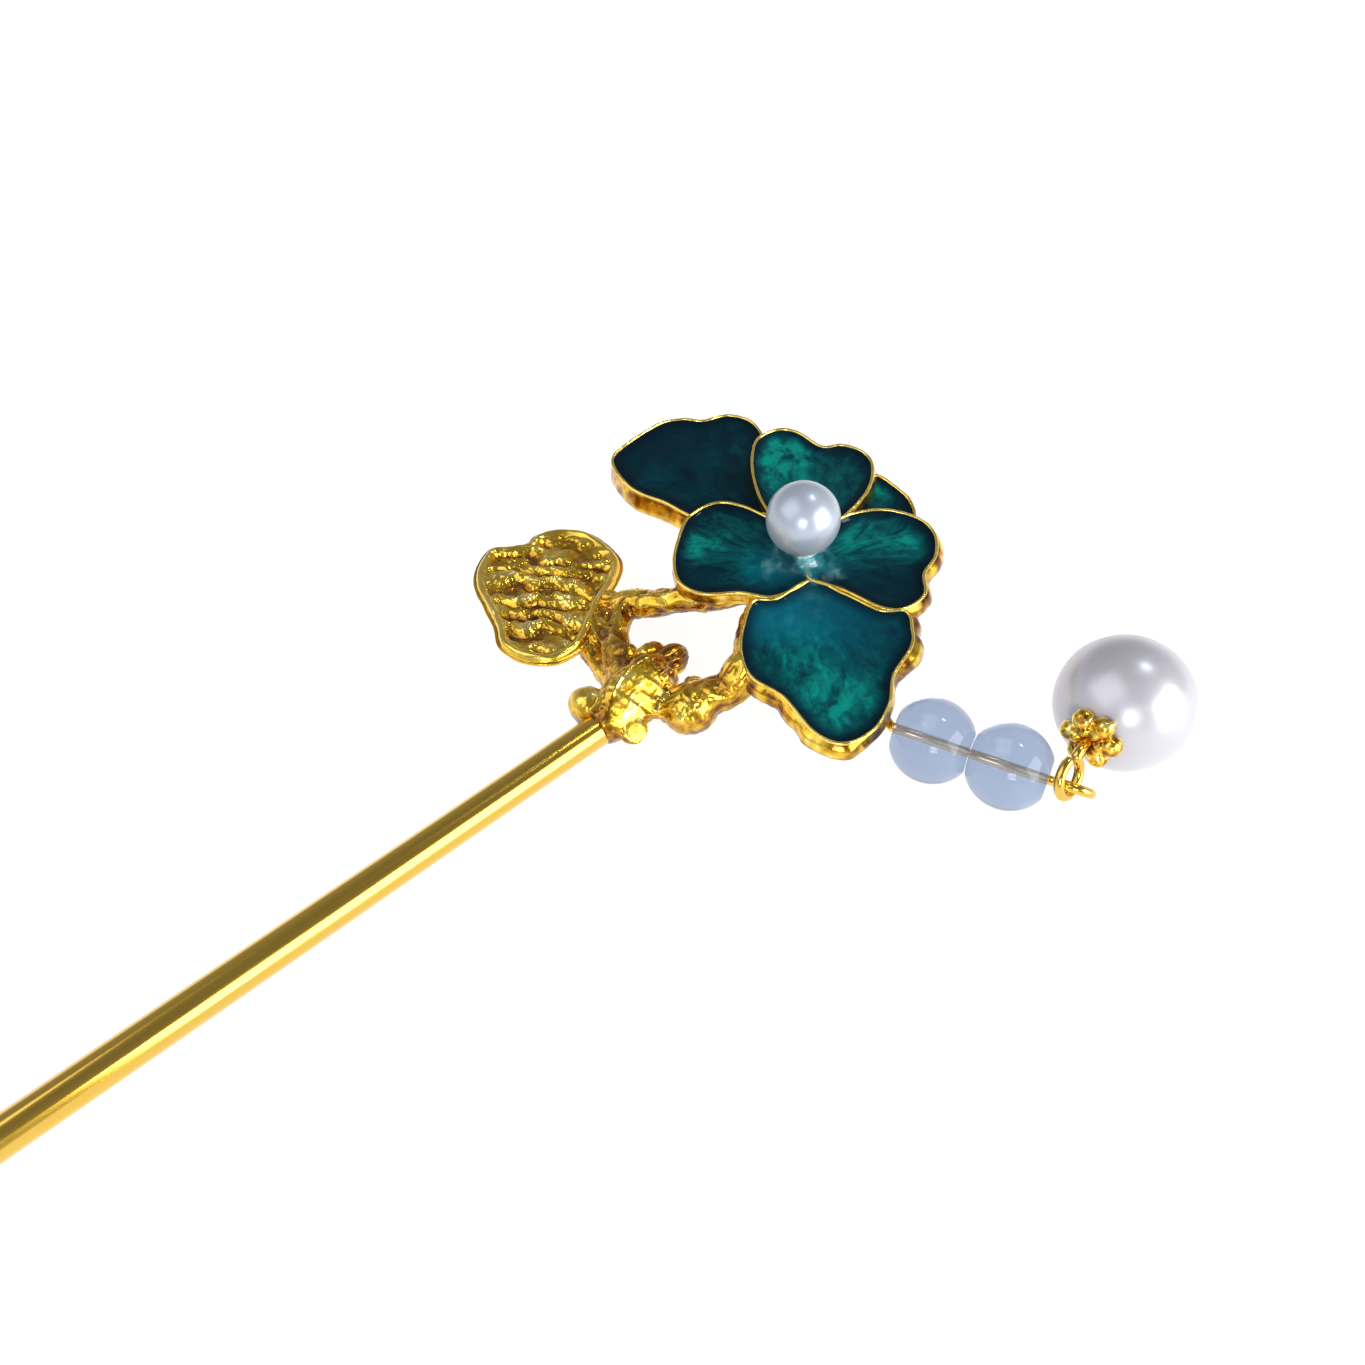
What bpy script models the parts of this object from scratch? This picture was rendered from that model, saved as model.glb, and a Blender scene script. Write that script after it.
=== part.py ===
"""Decorative hair stick with an enamelled flower head and a beaded drop.

Everything is in metres and +Z is up.  The stick lies along X on the ground
plane z = 0 with its tip towards -X.  The flower faces up, the leaf lies on the
+Y side and the drop (two clear beads and a pearl) leaves the flower on the -Y
side.  Lengths below are in millimetres and MM turns them into metres.  They are
set out from the middle of the flower, and the last step moves everything so
that the origin is the middle of the flat back of the branch casting.
"""

import math

import bmesh
import bpy
from mathutils import Matrix, Vector

MM = 0.001

# stick
STICK_R = 1.2
STICK_TAIL = -148.0        # tip of the stick
STICK_TAPER = 46.0         # length of the tapered end
STICK_TIP_R = 0.55
STICK_HEAD = -16.6         # end inside the branch casting
JOINT_GAP = 0.02           # between pieces that are soldered, glued or cast together
BACK_PAD = (-14.0, 0.0)    # middle of the flat back of the branch casting
BACK_PAD_R = 1.9

# flower frame: centre, heading of the flower's long axis, tilt of its plane
FLOWER_HEIGHT = 6.4
FLOWER_HEADING = 46.75
FLOWER_TILT = 6.0
RIM = 0.42                 # width of the gold line around each petal
RIM_OUT = 0.1              # of it outside the petal's line
DRAFT = 0.15               # how much wider each petal is at its back
BACK_SHIFT = 0.22          # and how far its back lies to the right
RECESS = 0.55              # depth of the enamel
ENAMEL_SINK = 0.1          # enamel surface below the rim
FRONT_DEPTH = 1.1
BACK_DEPTH = 2.2
BACK_DROP = 0.8            # the two back petals sit this much lower

# flower pearl
SEAT = (0.5, -0.5)
PEARL_R = 2.78
PEARL_HEIGHT = 3.95        # its centre above the rims
PEG_R = 0.45
PEG_HOLE_R = 0.5

# drop
WIRE_R = 0.35
BEAD_R = 3.0
BEAD_LENGTH = 5.3
BEAD_PITCH = 5.38
BEAD_HOLE_R = 0.43
BEAD_1 = (-4.54, -17.79, 3.05)
DROP_HEADING = -68.5
EYE_REACH = 4.25           # from a bead's centre to the centre of the eye beyond it
EYE_INNER_R = 0.89         # wire centre-line radius of the eye under the petal
EYE_OUTER_R = 1.25         # and of the eye that carries the pearl
LINK_GAP = 0.05            # between two linked wires
DROP_PEARL = (6.4, -25.45, 4.8)
DROP_PEARL_R = 4.75
DROP_HOLE_R = 0.42
PEARL_EYE_R = 1.1          # half width of the pearl's oval eye
PEARL_EYE_LONG = 1.3       # half length
PEARL_EYE_NECK = 1.8       # from the eye's centre to the bend of its wire
PEARL_EYE_TWIST = 10.0
CONTACT_TURN = 20.0        # where the pearl hangs on the outer eye, from the top


# --- frames ----------------------------------------------------------------
def unit(heading):
    return Vector((math.cos(math.radians(heading)), math.sin(math.radians(heading)), 0))


ALONG = unit(FLOWER_HEADING)
RIGHT = unit(FLOWER_HEADING - 90)
TILT = math.radians(FLOWER_TILT)
NORMAL = Vector((0, 0, 1)) * math.cos(TILT) - ALONG * math.sin(TILT)
UP = NORMAL.cross(RIGHT)
CENTRE = Vector((0, 0, FLOWER_HEIGHT))


def on_flower(x, y, z=0.0):
    """A point given to the right of, along and above the flower's centre."""
    return CENTRE + RIGHT * x + UP * y + NORMAL * z


# --- scene -----------------------------------------------------------------
for old in list(bpy.data.objects):
    bpy.data.objects.remove(old, do_unlink=True)

PIN = bpy.data.collections.new("decorative_hair_stick")
CUTTERS = bpy.data.collections.new("cutters")
bpy.context.scene.collection.children.link(PIN)
bpy.context.scene.collection.children.link(CUTTERS)


def material(name, colour, metallic=0.0, roughness=0.4, transmission=0.0):
    made = bpy.data.materials.new(name)
    made.use_nodes = True
    made.diffuse_color = (*colour, 1.0)
    shader = made.node_tree.nodes["Principled BSDF"]
    shader.inputs["Base Color"].default_value = (*colour, 1.0)
    shader.inputs["Metallic"].default_value = metallic
    shader.inputs["Roughness"].default_value = roughness
    shader.inputs["Transmission Weight"].default_value = transmission
    return made


def gold(name):
    return material(name, (0.72, 0.47, 0.08), 1.0, 0.25)


def teal(name):
    return material(name, (0.0, 0.16, 0.16), 0.0, 0.12)


# --- mesh building (all in millimetres) ------------------------------------
def solid(name, verts, faces, look=None, cutter=False):
    mesh = bpy.data.meshes.new(name)
    mesh.from_pydata([Vector(v) * MM for v in verts], [], faces)
    work = bmesh.new()
    work.from_mesh(mesh)
    bmesh.ops.recalc_face_normals(work, faces=work.faces)
    work.to_mesh(mesh)
    work.free()
    made = bpy.data.objects.new(name, mesh)
    if cutter:
        CUTTERS.objects.link(made)
        made.hide_render = True
        made.display_type = "WIRE"
    else:
        PIN.objects.link(made)
        mesh.materials.append(look)
    return made


def skin(rings, closed=False):
    """Quads between rings of equal length, with flat ends unless the rings close."""
    count = len(rings[0])
    verts = [v for ring in rings for v in ring]
    faces = []
    spans = len(rings) if closed else len(rings) - 1
    for i in range(spans):
        a, b = i * count, (i + 1) % len(rings) * count
        for j in range(count):
            k = (j + 1) % count
            faces.append((a + j, a + k, b + k, b + j))
    if not closed:
        faces.append(tuple(range(count)))
        faces.append(tuple(range((len(rings) - 1) * count, len(rings) * count)))
    return verts, faces


def circle(centre, across, other, radius, sides=20):
    step = 2 * math.pi / sides
    return [
        centre + (across * math.cos(i * step) + other * math.sin(i * step)) * radius
        for i in range(sides)
    ]


def cross_axes(axis):
    side = Vector((0, 0, 1)) if abs(axis.z) < 0.9 else Vector((1, 0, 0))
    across = axis.cross(side).normalized()
    return across, axis.cross(across).normalized()


def lathe(centre, axis, profile, sides=24, closed=False):
    """A turned shape: the profile is (distance along the axis, radius)."""
    across, other = cross_axes(axis)
    return skin(
        [circle(centre + axis * z, across, other, r, sides) for z, r in profile], closed
    )


def sweep(path, radii, sides=12):
    """A round bar along a path, its section carried without twist."""
    path = [Vector(p) for p in path]
    if not isinstance(radii, (list, tuple)):
        radii = [radii] * len(path)
    across = None
    rings = []
    for i, point in enumerate(path):
        ahead = path[min(i + 1, len(path) - 1)] - path[max(i - 1, 0)]
        ahead.normalize()
        if across is None:
            across = cross_axes(ahead)[0]
        across = (across - ahead * across.dot(ahead)).normalized()
        rings.append(circle(point, across, ahead.cross(across), radii[i], sides))
    return skin(rings)


def ball(centre, radii, segments=20, rings=12):
    centre = Vector(centre)
    verts = [centre + Vector((0, 0, -radii[2]))]
    for i in range(1, rings):
        tilt = math.pi * i / rings - math.pi / 2
        for j in range(segments):
            turn = 2 * math.pi * j / segments
            verts.append(
                centre
                + Vector(
                    (
                        radii[0] * math.cos(tilt) * math.cos(turn),
                        radii[1] * math.cos(tilt) * math.sin(turn),
                        radii[2] * math.sin(tilt),
                    )
                )
            )
    verts.append(centre + Vector((0, 0, radii[2])))
    last = len(verts) - 1
    faces = []
    for j in range(segments):
        k = (j + 1) % segments
        faces.append((0, 1 + k, 1 + j))
        for i in range(rings - 2):
            a = 1 + i * segments
            faces.append((a + j, a + k, a + segments + k, a + segments + j))
        a = 1 + (rings - 2) * segments
        faces.append((a + j, a + k, last))
    return verts, faces


def box(low, high):
    x, y, z = low
    u, v, w = high
    ring = [(x, y), (u, y), (u, v), (x, v)]
    return skin([[Vector((*p, z)) for p in ring], [Vector((*p, w)) for p in ring]])


def smooth_outline(points, per=3):
    """A closed curve through the points."""
    made = []
    count = len(points)
    for i in range(count):
        a, b, c, d = (Vector(points[(i + k - 1) % count]) for k in range(4))
        for step in range(per):
            t = step / per
            made.append(
                0.5
                * (
                    2 * b
                    + (c - a) * t
                    + (2 * a - 5 * b + 4 * c - d) * t * t
                    + (3 * b - a - 3 * c + d) * t * t * t
                )
            )
    return made


def grown(outline, by):
    """The outline moved outwards by a distance, or inwards if it is negative."""
    count = len(outline)
    area = sum(
        outline[i].x * outline[(i + 1) % count].y
        - outline[(i + 1) % count].x * outline[i].y
        for i in range(count)
    )
    turn = 1 if area > 0 else -1
    made = []
    for i in range(count):
        ahead = (outline[(i + 1) % count] - outline[i - 1]).normalized()
        made.append(outline[i] + Vector((ahead.y, -ahead.x)) * (by * turn))
    return made


def combine(target, operation, *others):
    for other in others:
        cut = target.modifiers.new(operation.lower(), "BOOLEAN")
        cut.operation = operation
        cut.solver = "EXACT"
        cut.object = other


# --- petals ----------------------------------------------------------------
# Rim lines in the flower's plane: (to the right, along).
PETALS = {
    "top": dict(
        height=-0.08,
        depth=FRONT_DEPTH + 0.15,
        line=[
            (0.8, 0.6), (-1.6, 4.3), (-2.5, 7.2), (-2.7, 10.3), (-2.1, 12.8), (-0.5, 13.9),
            (1.2, 13.6), (3.1, 11.9), (4.8, 12.0), (6.5, 11.2), (7.1, 9.4), (6.3, 6.4), (3.6, 3.0),
        ],
    ),
    "left": dict(
        height=-0.04,
        depth=FRONT_DEPTH + 0.07,
        line=[
            (0.9, 0.4), (-1.9, 3.8), (-5.2, 5.3), (-7.7, 3.9), (-8.7, 1.2), (-9.0, -1.2), (-8.5, -3.3),
            (-6.8, -4.3), (-4.1, -4.2), (-1.6, -4.6), (1.1, -2.9), (1.0, -1.2),
        ],
    ),
    "right": dict(
        height=0.04,
        depth=FRONT_DEPTH + 0.02,
        line=[
            (1.1, 0.3), (4.0, 3.5), (7.2, 4.4), (9.9, 3.6), (11.1, 1.8), (10.9, -0.5), (9.8, -2.4),
            (9.6, -4.4), (8.0, -5.8), (6.2, -5.7), (3.6, -4.0), (1.2, -2.9), (1.1, -1.2),
        ],
    ),
    "bottom": dict(
        height=0.0,
        depth=FRONT_DEPTH,
        line=[
            (1.15, -3.0), (-1.4, -4.75), (-3.1, -5.0), (-3.9, -7.2), (-4.2, -9.8), (-3.5, -12.1),
            (-1.4, -13.8), (0.5, -16.7), (2.5, -17.7), (4.7, -16.5), (6.0, -14.2), (6.5, -11.9),
            (8.0, -9.4), (8.3, -7.6), (8.0, -6.0), (6.1, -5.9), (3.5, -4.2),
        ],
    ),
    "upper_left": dict(
        height=-BACK_DROP,
        depth=BACK_DEPTH,
        line=[
            (-14.1, 10.6), (-13.3, 12.6), (-10.4, 15.4), (-8.4, 16.1), (-6.6, 15.9), (-4.3, 16.6),
            (-2.2, 15.4), (-1.2, 12.0), (-1.2, 8.0), (-1.8, 5.0), (-4.0, 3.4), (-7.4, 4.4),
            (-9.7, 6.0), (-12.4, 7.6),
        ],
    ),
    "upper_right": dict(
        height=-BACK_DROP - 0.1,
        depth=BACK_DEPTH - 0.2,
        line=[
            (3.4, 2.6), (5.2, 6.4), (6.2, 9.3), (7.6, 9.3), (8.8, 8.1), (9.9, 6.4), (10.0, 4.4),
            (8.6, 3.0), (6.0, 2.0),
        ],
    ),
}


def layer(outline, by, height, shift=0.0):
    return [on_flower(p.x + shift, p.y, height) for p in grown(outline, by)]


def petal_tray(name, more=0.0):
    petal = PETALS[name]
    outline = smooth_outline(petal["line"])
    top, back = petal["height"] + more, petal["height"] - petal["depth"] - more
    return skin(
        [
            layer(outline, RIM_OUT + DRAFT + more, back, BACK_SHIFT),
            layer(outline, RIM_OUT + more, top),
        ]
    )


def petal_recess(name):
    petal = PETALS[name]
    outline = smooth_outline(petal["line"])
    floor = petal["height"] - RECESS
    inner = RIM_OUT - RIM
    return skin([layer(outline, inner, floor), layer(outline, inner, 1.0)])


def petal_fill(name):
    petal = PETALS[name]
    outline = smooth_outline(petal["line"])
    floor = petal["height"] - RECESS + JOINT_GAP
    inset = RIM_OUT - RIM - JOINT_GAP
    return skin(
        [
            layer(outline, inset, floor),
            layer(outline, inset, petal["height"] - ENAMEL_SINK - 0.04),
            layer(outline, inset - 0.12, petal["height"] - ENAMEL_SINK),
        ]
    )


FRONT = ["top", "left", "right", "bottom"]
BACK = ["upper_left", "upper_right"]
trays = {n: solid("tray_" + n, *petal_tray(n), cutter=True) for n in FRONT + BACK}
grown_trays = {
    n: solid("grown_tray_" + n, *petal_tray(n, JOINT_GAP), cutter=True) for n in FRONT + BACK
}
recesses = {n: solid("recess_" + n, *petal_recess(n), cutter=True) for n in FRONT + BACK}

# --- drop geometry ---------------------------------------------------------
DROP = unit(DROP_HEADING)
BEAD_AT = [Vector(BEAD_1), Vector(BEAD_1) + DROP * BEAD_PITCH]
INNER_EYE = BEAD_AT[0] - DROP * EYE_REACH
OUTER_EYE = BEAD_AT[1] + DROP * EYE_REACH
# the outer eye stands on a plane that leans, and the pearl hangs from its upper side
LEAN = Vector((0.600, 0.236, -0.764))
LEAN = (LEAN - DROP * LEAN.dot(DROP)).normalized()
THROUGH = LEAN.cross(DROP).normalized()
if THROUGH.z < 0:
    THROUGH = -THROUGH
turn = math.radians(CONTACT_TURN)
INWARD = LEAN * math.cos(turn) + DROP * math.sin(turn)
CONTACT = OUTER_EYE - INWARD * EYE_OUTER_R
CONTACT_AXIS = DROP * math.cos(turn) - LEAN * math.sin(turn)
PEARL_EYE = CONTACT + THROUGH * (PEARL_EYE_LONG - 2 * WIRE_R - LINK_GAP)
twist = math.radians(PEARL_EYE_TWIST)
PEARL_EYE_SIDE = INWARD * math.cos(twist) + CONTACT_AXIS * math.sin(twist)
BEND = PEARL_EYE + THROUGH * PEARL_EYE_NECK
PEARL_AT = Vector(DROP_PEARL)
SHANK = (BEND - PEARL_AT).normalized()

# --- flower casting --------------------------------------------------------
# a staple under the bottom petal carries the drop
STAPLE_R = 0.45
STAPLE_SPAN = 2.0
STAPLE_LOW = 1.5
staple_in = INNER_EYE - DROP * STAPLE_SPAN
top_of_staple = 4.1
arc = []
for i in range(9):
    turn = math.pi * i / 8
    middle = (INNER_EYE + staple_in) / 2
    arc.append(
        Vector((middle.x, middle.y, STAPLE_LOW + 1.0))
        + DROP * (STAPLE_SPAN / 2 * math.cos(turn))
        - Vector((0, 0, 1.0 * math.sin(turn)))
    )
staple = solid(
    "staple",
    *sweep(
        [Vector((INNER_EYE.x, INNER_EYE.y, top_of_staple))]
        + arc
        + [Vector((staple_in.x, staple_in.y, top_of_staple))],
        STAPLE_R,
        16,
    ),
    cutter=True,
)

flower = solid("flower_casting", *petal_tray("upper_left"), look=gold("cast_gold_flower"))
combine(flower, "UNION", trays["upper_right"])
combine(flower, "DIFFERENCE", recesses["upper_left"], recesses["upper_right"])
combine(flower, "UNION", *(trays[n] for n in FRONT), staple)
combine(flower, "DIFFERENCE", *(recesses[n] for n in FRONT))

for name in FRONT + BACK:
    enamel = solid("enamel_" + name, *petal_fill(name), look=teal("enamel_" + name))
    if name == "upper_left":
        combine(enamel, "DIFFERENCE", grown_trays["top"], grown_trays["left"])
    if name == "upper_right":
        combine(enamel, "DIFFERENCE", grown_trays["top"], grown_trays["right"])

# --- flower pearl, its peg and the set resin under it ----------------------
seat = on_flower(*SEAT)
peg_top = PEARL_HEIGHT - 0.6
solid(
    "pearl_peg",
    *lathe(seat, NORMAL, [(0.12, 0.75), (0.35, 0.75), (0.6, PEG_R), (peg_top, PEG_R)], 16),
    look=gold("gold_peg"),
)
resin_profile = [
    (0.10, 0.79), (0.10, 2.1), (0.35, 1.75), (0.75, 1.35), (1.25, 1.05), (1.25, 0.49), (0.66, 0.49),
    (0.39, 0.79),
]
solid(
    "resin_fillet",
    *lathe(seat, NORMAL, resin_profile, 24, closed=True),
    look=material("set_resin", (0.55, 0.75, 0.75), 0.0, 0.05, 0.8),
)


def pearl_profile(radius, hole, low, high, steps=14):
    """A ball's half section with a bore along its axis between two heights."""
    made = []
    start = -math.sqrt(radius**2 - hole**2)
    for i in range(steps + 1):
        turn = math.pi * i / steps
        z = -math.cos(turn) * radius
        made.append((max(min(z, -start), start), max(math.sin(turn) * radius, hole)))
    return made


def drilled_ball(centre, axis, radius, hole, floor=None):
    """A ball bored through along its axis, or down to a floor inside it."""
    edge = math.sqrt(radius**2 - hole**2)
    low = math.asin(hole / radius)
    rim = [
        (-math.cos(low + (math.pi - 2 * low) * i / 16) * radius,
         math.sin(low + (math.pi - 2 * low) * i / 16) * radius)
        for i in range(17)
    ]
    if floor is None:
        return lathe(centre, axis, rim, 28, closed=True)
    ball_end = [(radius * 0.999, 0.12)]
    outside = [
        (-math.cos(low + (math.pi - low) * i / 16) * radius,
         max(math.sin(low + (math.pi - low) * i / 16) * radius, 0.12))
        for i in range(16)
    ] + ball_end
    return lathe(centre, axis, [(floor, hole), (-edge, hole)] + outside[1:], 28)


solid(
    "flower_pearl",
    *drilled_ball(
        seat + NORMAL * PEARL_HEIGHT, NORMAL, PEARL_R, PEG_HOLE_R, -0.4
    ),
    look=material("flower_pearl", (0.86, 0.85, 0.88), 0.0, 0.25),
)

# --- stick -----------------------------------------------------------------
X = Vector((1, 0, 0))
stick_axis = Vector((0, 0, STICK_R))
solid(
    "hair_stick",
    *lathe(
        stick_axis,
        X,
        [
            (STICK_TAIL, 0.15), (STICK_TAIL + 0.12, 0.36), (STICK_TAIL + 0.45, STICK_TIP_R),
            (STICK_TAIL + STICK_TAPER * 0.5, 0.95), (STICK_TAIL + STICK_TAPER, STICK_R),
            (STICK_HEAD, STICK_R),
        ],
        28,
    ),
    look=gold("stick_gold"),
)

# --- leaf casting ----------------------------------------------------------
LEAF_TOP = 2.2
LEAF_BACK = 1.2
LEAF_LINE = [
    (-17.2, 17.8), (-15.8, 19.5), (-13.7, 20.5), (-12.0, 19.9), (-10.6, 19.4), (-8.4, 18.8),
    (-7.0, 16.9), (-6.8, 14.4), (-7.3, 12.1), (-9.0, 10.6), (-11.2, 9.5), (-13.3, 8.1),
    (-15.5, 6.9), (-17.8, 7.0), (-19.3, 8.6), (-19.6, 10.7), (-18.6, 12.8), (-18.0, 15.3),
]
leaf_line = smooth_outline(LEAF_LINE)


def leaf_layer(by, height):
    return [Vector((p.x, p.y, height)) for p in grown(leaf_line, by)]


leaf = solid(
    "leaf_casting",
    *skin(
        [
            leaf_layer(-0.1, LEAF_BACK),
            leaf_layer(0.1, LEAF_BACK + 0.3),
            leaf_layer(0.1, LEAF_TOP - 0.2),
            leaf_layer(-0.1, LEAF_TOP),
        ]
    ),
    look=gold("cast_gold_leaf"),
)
leaf_hollow = solid(
    "leaf_hollow",
    *skin([leaf_layer(-0.75, LEAF_TOP - 0.35), leaf_layer(-0.6, LEAF_TOP + 1)]),
    cutter=True,
)
combine(leaf, "DIFFERENCE", leaf_hollow)
leaf_cut = solid(
    "leaf_cut",
    *skin(
        [leaf_layer(0.1 + JOINT_GAP, LEAF_BACK - JOINT_GAP), leaf_layer(0.1 + JOINT_GAP, LEAF_TOP + 2)]
    ),
    cutter=True,
)

# --- branch casting --------------------------------------------------------
branch = solid(
    "branch_casting",
    *sweep(
        [(-19.8, 0.1, 1.35), (-18.6, 0.0, 1.5), (-16.4, 0.3, 1.8), (-14.2, 0.6, 1.9), (-12.4, 0.5, 2.0)],
        [1.5, 1.75, 2.2, 2.2, 1.3],
        16,
    ),
    look=gold("cast_gold_branch"),
)
LUMPS = [
    ("bud_by_stick", (-18.9, 2.0, 1.6), (1.05, 1.3, 1.2)),
    ("bud_large", (-13.9, -3.5, 1.9), (2.0, 1.75, 1.75)),
    ("bud_small", (-14.1, 3.5, 2.3), (1.15, 1.1, 1.1)),
    ("lobe_top", (-11.7, 0.9, 2.2), (1.35, 1.1, 1.1)),
    ("knob", (-12.6, -2.4, 2.6), (0.9, 0.9, 0.85)),
    ("spur", (-18.1, -1.9, 1.5), (0.9, 1.0, 0.9)),
]
lumps = [solid(n, *ball(at, size, 18, 10), cutter=True) for n, at, size in LUMPS]
STEMS = [
    ("neck_bud", [(-15.6, 0.2, 1.8), (-14.6, -1.8, 1.8), (-14.0, -3.2, 1.8)], [1.6, 1.4, 1.3]),
    (
        "stem_lower",
        [(-13.6, -3.6, 2.2), (-12.4, -4.2, 2.7), (-11.5, -4.8, 3.5), (-10.6, -5.0, 4.3), (-9.6, -5.0, 4.7)],
        [1.2, 1.1, 1.0, 0.95, 0.9],
    ),
    (
        "stem_upper",
        [(-10.5, 8.9, 1.1), (-9.9, 7.8, 1.6), (-9.4, 6.4, 2.4), (-8.6, 4.8, 3.2), (-7.6, 3.2, 4.1),
         (-6.4, 1.6, 4.8), (-5.0, 0.6, 5.0)],
        [0.9, 1.0, 1.05, 1.05, 1.0, 0.95, 0.9],
    ),
    (
        "stem_leaf",
        [(-15.8, 1.0, 1.8), (-14.6, 3.4, 1.7), (-13.7, 5.2, 1.5), (-13.2, 6.8, 1.2), (-12.9, 7.9, 1.0)],
        [1.6, 1.3, 1.1, 0.95, 0.75],
    ),
    (
        "rib_under_leaf",
        [(-15.6, 2.2, 1.2), (-15.2, 4.4, 0.9), (-14.7, 7.0, 0.7), (-14.1, 10.0, 0.65), (-13.6, 13.0, 0.6),
         (-13.2, 15.5, 0.55)],
        [1.3, 1.0, 0.85, 0.75, 0.68, 0.6],
    ),
    (
        "stem_link",
        [(-14.2, 4.2, 1.5), (-12.6, 6.2, 1.5), (-11.0, 7.3, 1.6), (-9.8, 7.4, 1.8)],
        [1.1, 1.0, 0.9, 0.8],
    ),
]
stems = [solid(n, *sweep(path, size, 14), cutter=True) for n, path, size in STEMS]
ground = solid("below_ground", *box((-40, -40, -10), (40, 40, 0)), cutter=True)
stick_cut = solid(
    "stick_cut",
    *lathe(stick_axis, X, [(-30, STICK_R + JOINT_GAP), (STICK_HEAD + JOINT_GAP, STICK_R + JOINT_GAP)], 28),
    cutter=True,
)
stick_slot = solid("stick_slot", *box((-30, -0.95, -1), (STICK_HEAD + 0.1, 0.95, 0.6)), cutter=True)
pad = solid(
    "back_pad",
    *lathe(Vector((*BACK_PAD, 0)), Vector((0, 0, 1)), [(0, BACK_PAD_R), (1.6, BACK_PAD_R - 0.4)], 24),
    cutter=True,
)
combine(branch, "UNION", pad, *lumps, *stems)
combine(branch, "DIFFERENCE", ground, stick_cut, stick_slot, leaf_cut)
combine(branch, "DIFFERENCE", *(grown_trays[n] for n in ("left", "bottom", "upper_left")))

# --- drop ------------------------------------------------------------------


def eye_arc(centre, start, side, wide, long, begin, end, steps):
    """Points of an oval eye: the angle is measured from the start direction."""
    return [
        centre
        + start * (long * math.cos(math.radians(begin + (end - begin) * i / steps)))
        + side * (wide * math.sin(math.radians(begin + (end - begin) * i / steps)))
        for i in range(steps + 1)
    ]


LEVEL_SIDE = Vector((0, 0, 1)).cross(DROP)
inner_arc = eye_arc(INNER_EYE, DROP, LEVEL_SIDE, EYE_INNER_R, EYE_INNER_R, 305, 35, 20)
outer_arc = eye_arc(OUTER_EYE, -DROP, LEAN, EYE_OUTER_R, EYE_OUTER_R, 25, 318, 22)
solid(
    "strand_eye_pin",
    *sweep(
        inner_arc
        + [INNER_EYE + DROP * 1.15 + LEVEL_SIDE * 0.16, INNER_EYE + DROP * 1.45]
        + [BEAD_AT[0], BEAD_AT[1]]
        + [OUTER_EYE - DROP * 1.85, OUTER_EYE - DROP * 1.5 + LEAN * 0.2]
        + outer_arc,
        WIRE_R,
        14,
    ),
    look=gold("gold_eye_pin"),
)

half = BEAD_LENGTH / 2
flat = math.sqrt(BEAD_R**2 - half**2)
first = math.asin(half / BEAD_R)
bead_section = [(-half, BEAD_HOLE_R)]
for i in range(15):
    turn = -first + 2 * first * i / 14
    bead_section.append((BEAD_R * math.sin(turn), BEAD_R * math.cos(turn)))
bead_section.append((half, BEAD_HOLE_R))
for name, at in zip(("clear_bead_inner", "clear_bead_outer"), BEAD_AT):
    solid(
        name,
        *lathe(at, DROP, bead_section, 28, closed=True),
        look=material(name, (0.75, 0.82, 0.95), 0.0, 0.03, 0.9),
    )

pearl_arc = eye_arc(
    PEARL_EYE, THROUGH, PEARL_EYE_SIDE, PEARL_EYE_R, PEARL_EYE_LONG, 22, 318, 22
)
solid(
    "pearl_head_pin",
    *sweep(
        [PEARL_AT - SHANK * (DROP_PEARL_R + 0.45), PEARL_AT - SHANK * (DROP_PEARL_R + 0.1)]
        + [PEARL_AT - SHANK * (DROP_PEARL_R + 0.05), PEARL_AT, BEND - SHANK * 0.45]
        + [BEND - SHANK * 0.15 - THROUGH * 0.15, BEND - THROUGH * 0.28]
        + pearl_arc,
        [0.75, 0.75] + [WIRE_R] * (5 + len(pearl_arc)),
        14,
    ),
    look=gold("gold_head_pin"),
)
solid(
    "drop_pearl",
    *drilled_ball(PEARL_AT, SHANK, DROP_PEARL_R, DROP_HOLE_R),
    look=material("drop_pearl", (0.88, 0.87, 0.9), 0.0, 0.25),
)

# the cap is a ring of six lobes seated on the pearl
LOBES = 6
across, other = cross_axes(SHANK)


def lobed(height, radius, depth, sides=48):
    made = []
    for i in range(sides):
        turn = 2 * math.pi * i / sides
        reach = radius + depth * math.cos(LOBES * turn)
        made.append(
            PEARL_AT + SHANK * height + (across * math.cos(turn) + other * math.sin(turn)) * reach
        )
    return made


cap_rings = [
    lobed(DROP_PEARL_R + 0.04, DROP_HOLE_R, 0),
    lobed(DROP_PEARL_R - 0.12, 1.2, 0.15),
    lobed(DROP_PEARL_R - 0.05, 1.55, 0.3),
    lobed(DROP_PEARL_R + 0.35, 1.65, 0.35),
    lobed(DROP_PEARL_R + 0.8, 1.4, 0.3),
    lobed(DROP_PEARL_R + 1.0, 0.9, 0.1),
    lobed(DROP_PEARL_R + 0.85, DROP_HOLE_R, 0),
]
solid("bead_cap", *skin(cap_rings, closed=True), look=gold("gold_bead_cap"))

# turning axes: the origin of each moving piece sits on the line it turns about
for name, point in (
    ("strand_eye_pin", INNER_EYE),
    ("clear_bead_inner", BEAD_AT[0]),
    ("clear_bead_outer", BEAD_AT[1]),
    ("pearl_head_pin", CONTACT),
    ("drop_pearl", PEARL_AT),
    ("bead_cap", PEARL_AT),
):
    piece = bpy.data.objects[name]
    piece.data.transform(Matrix.Translation(-point * MM))
    piece.location = point * MM

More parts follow.
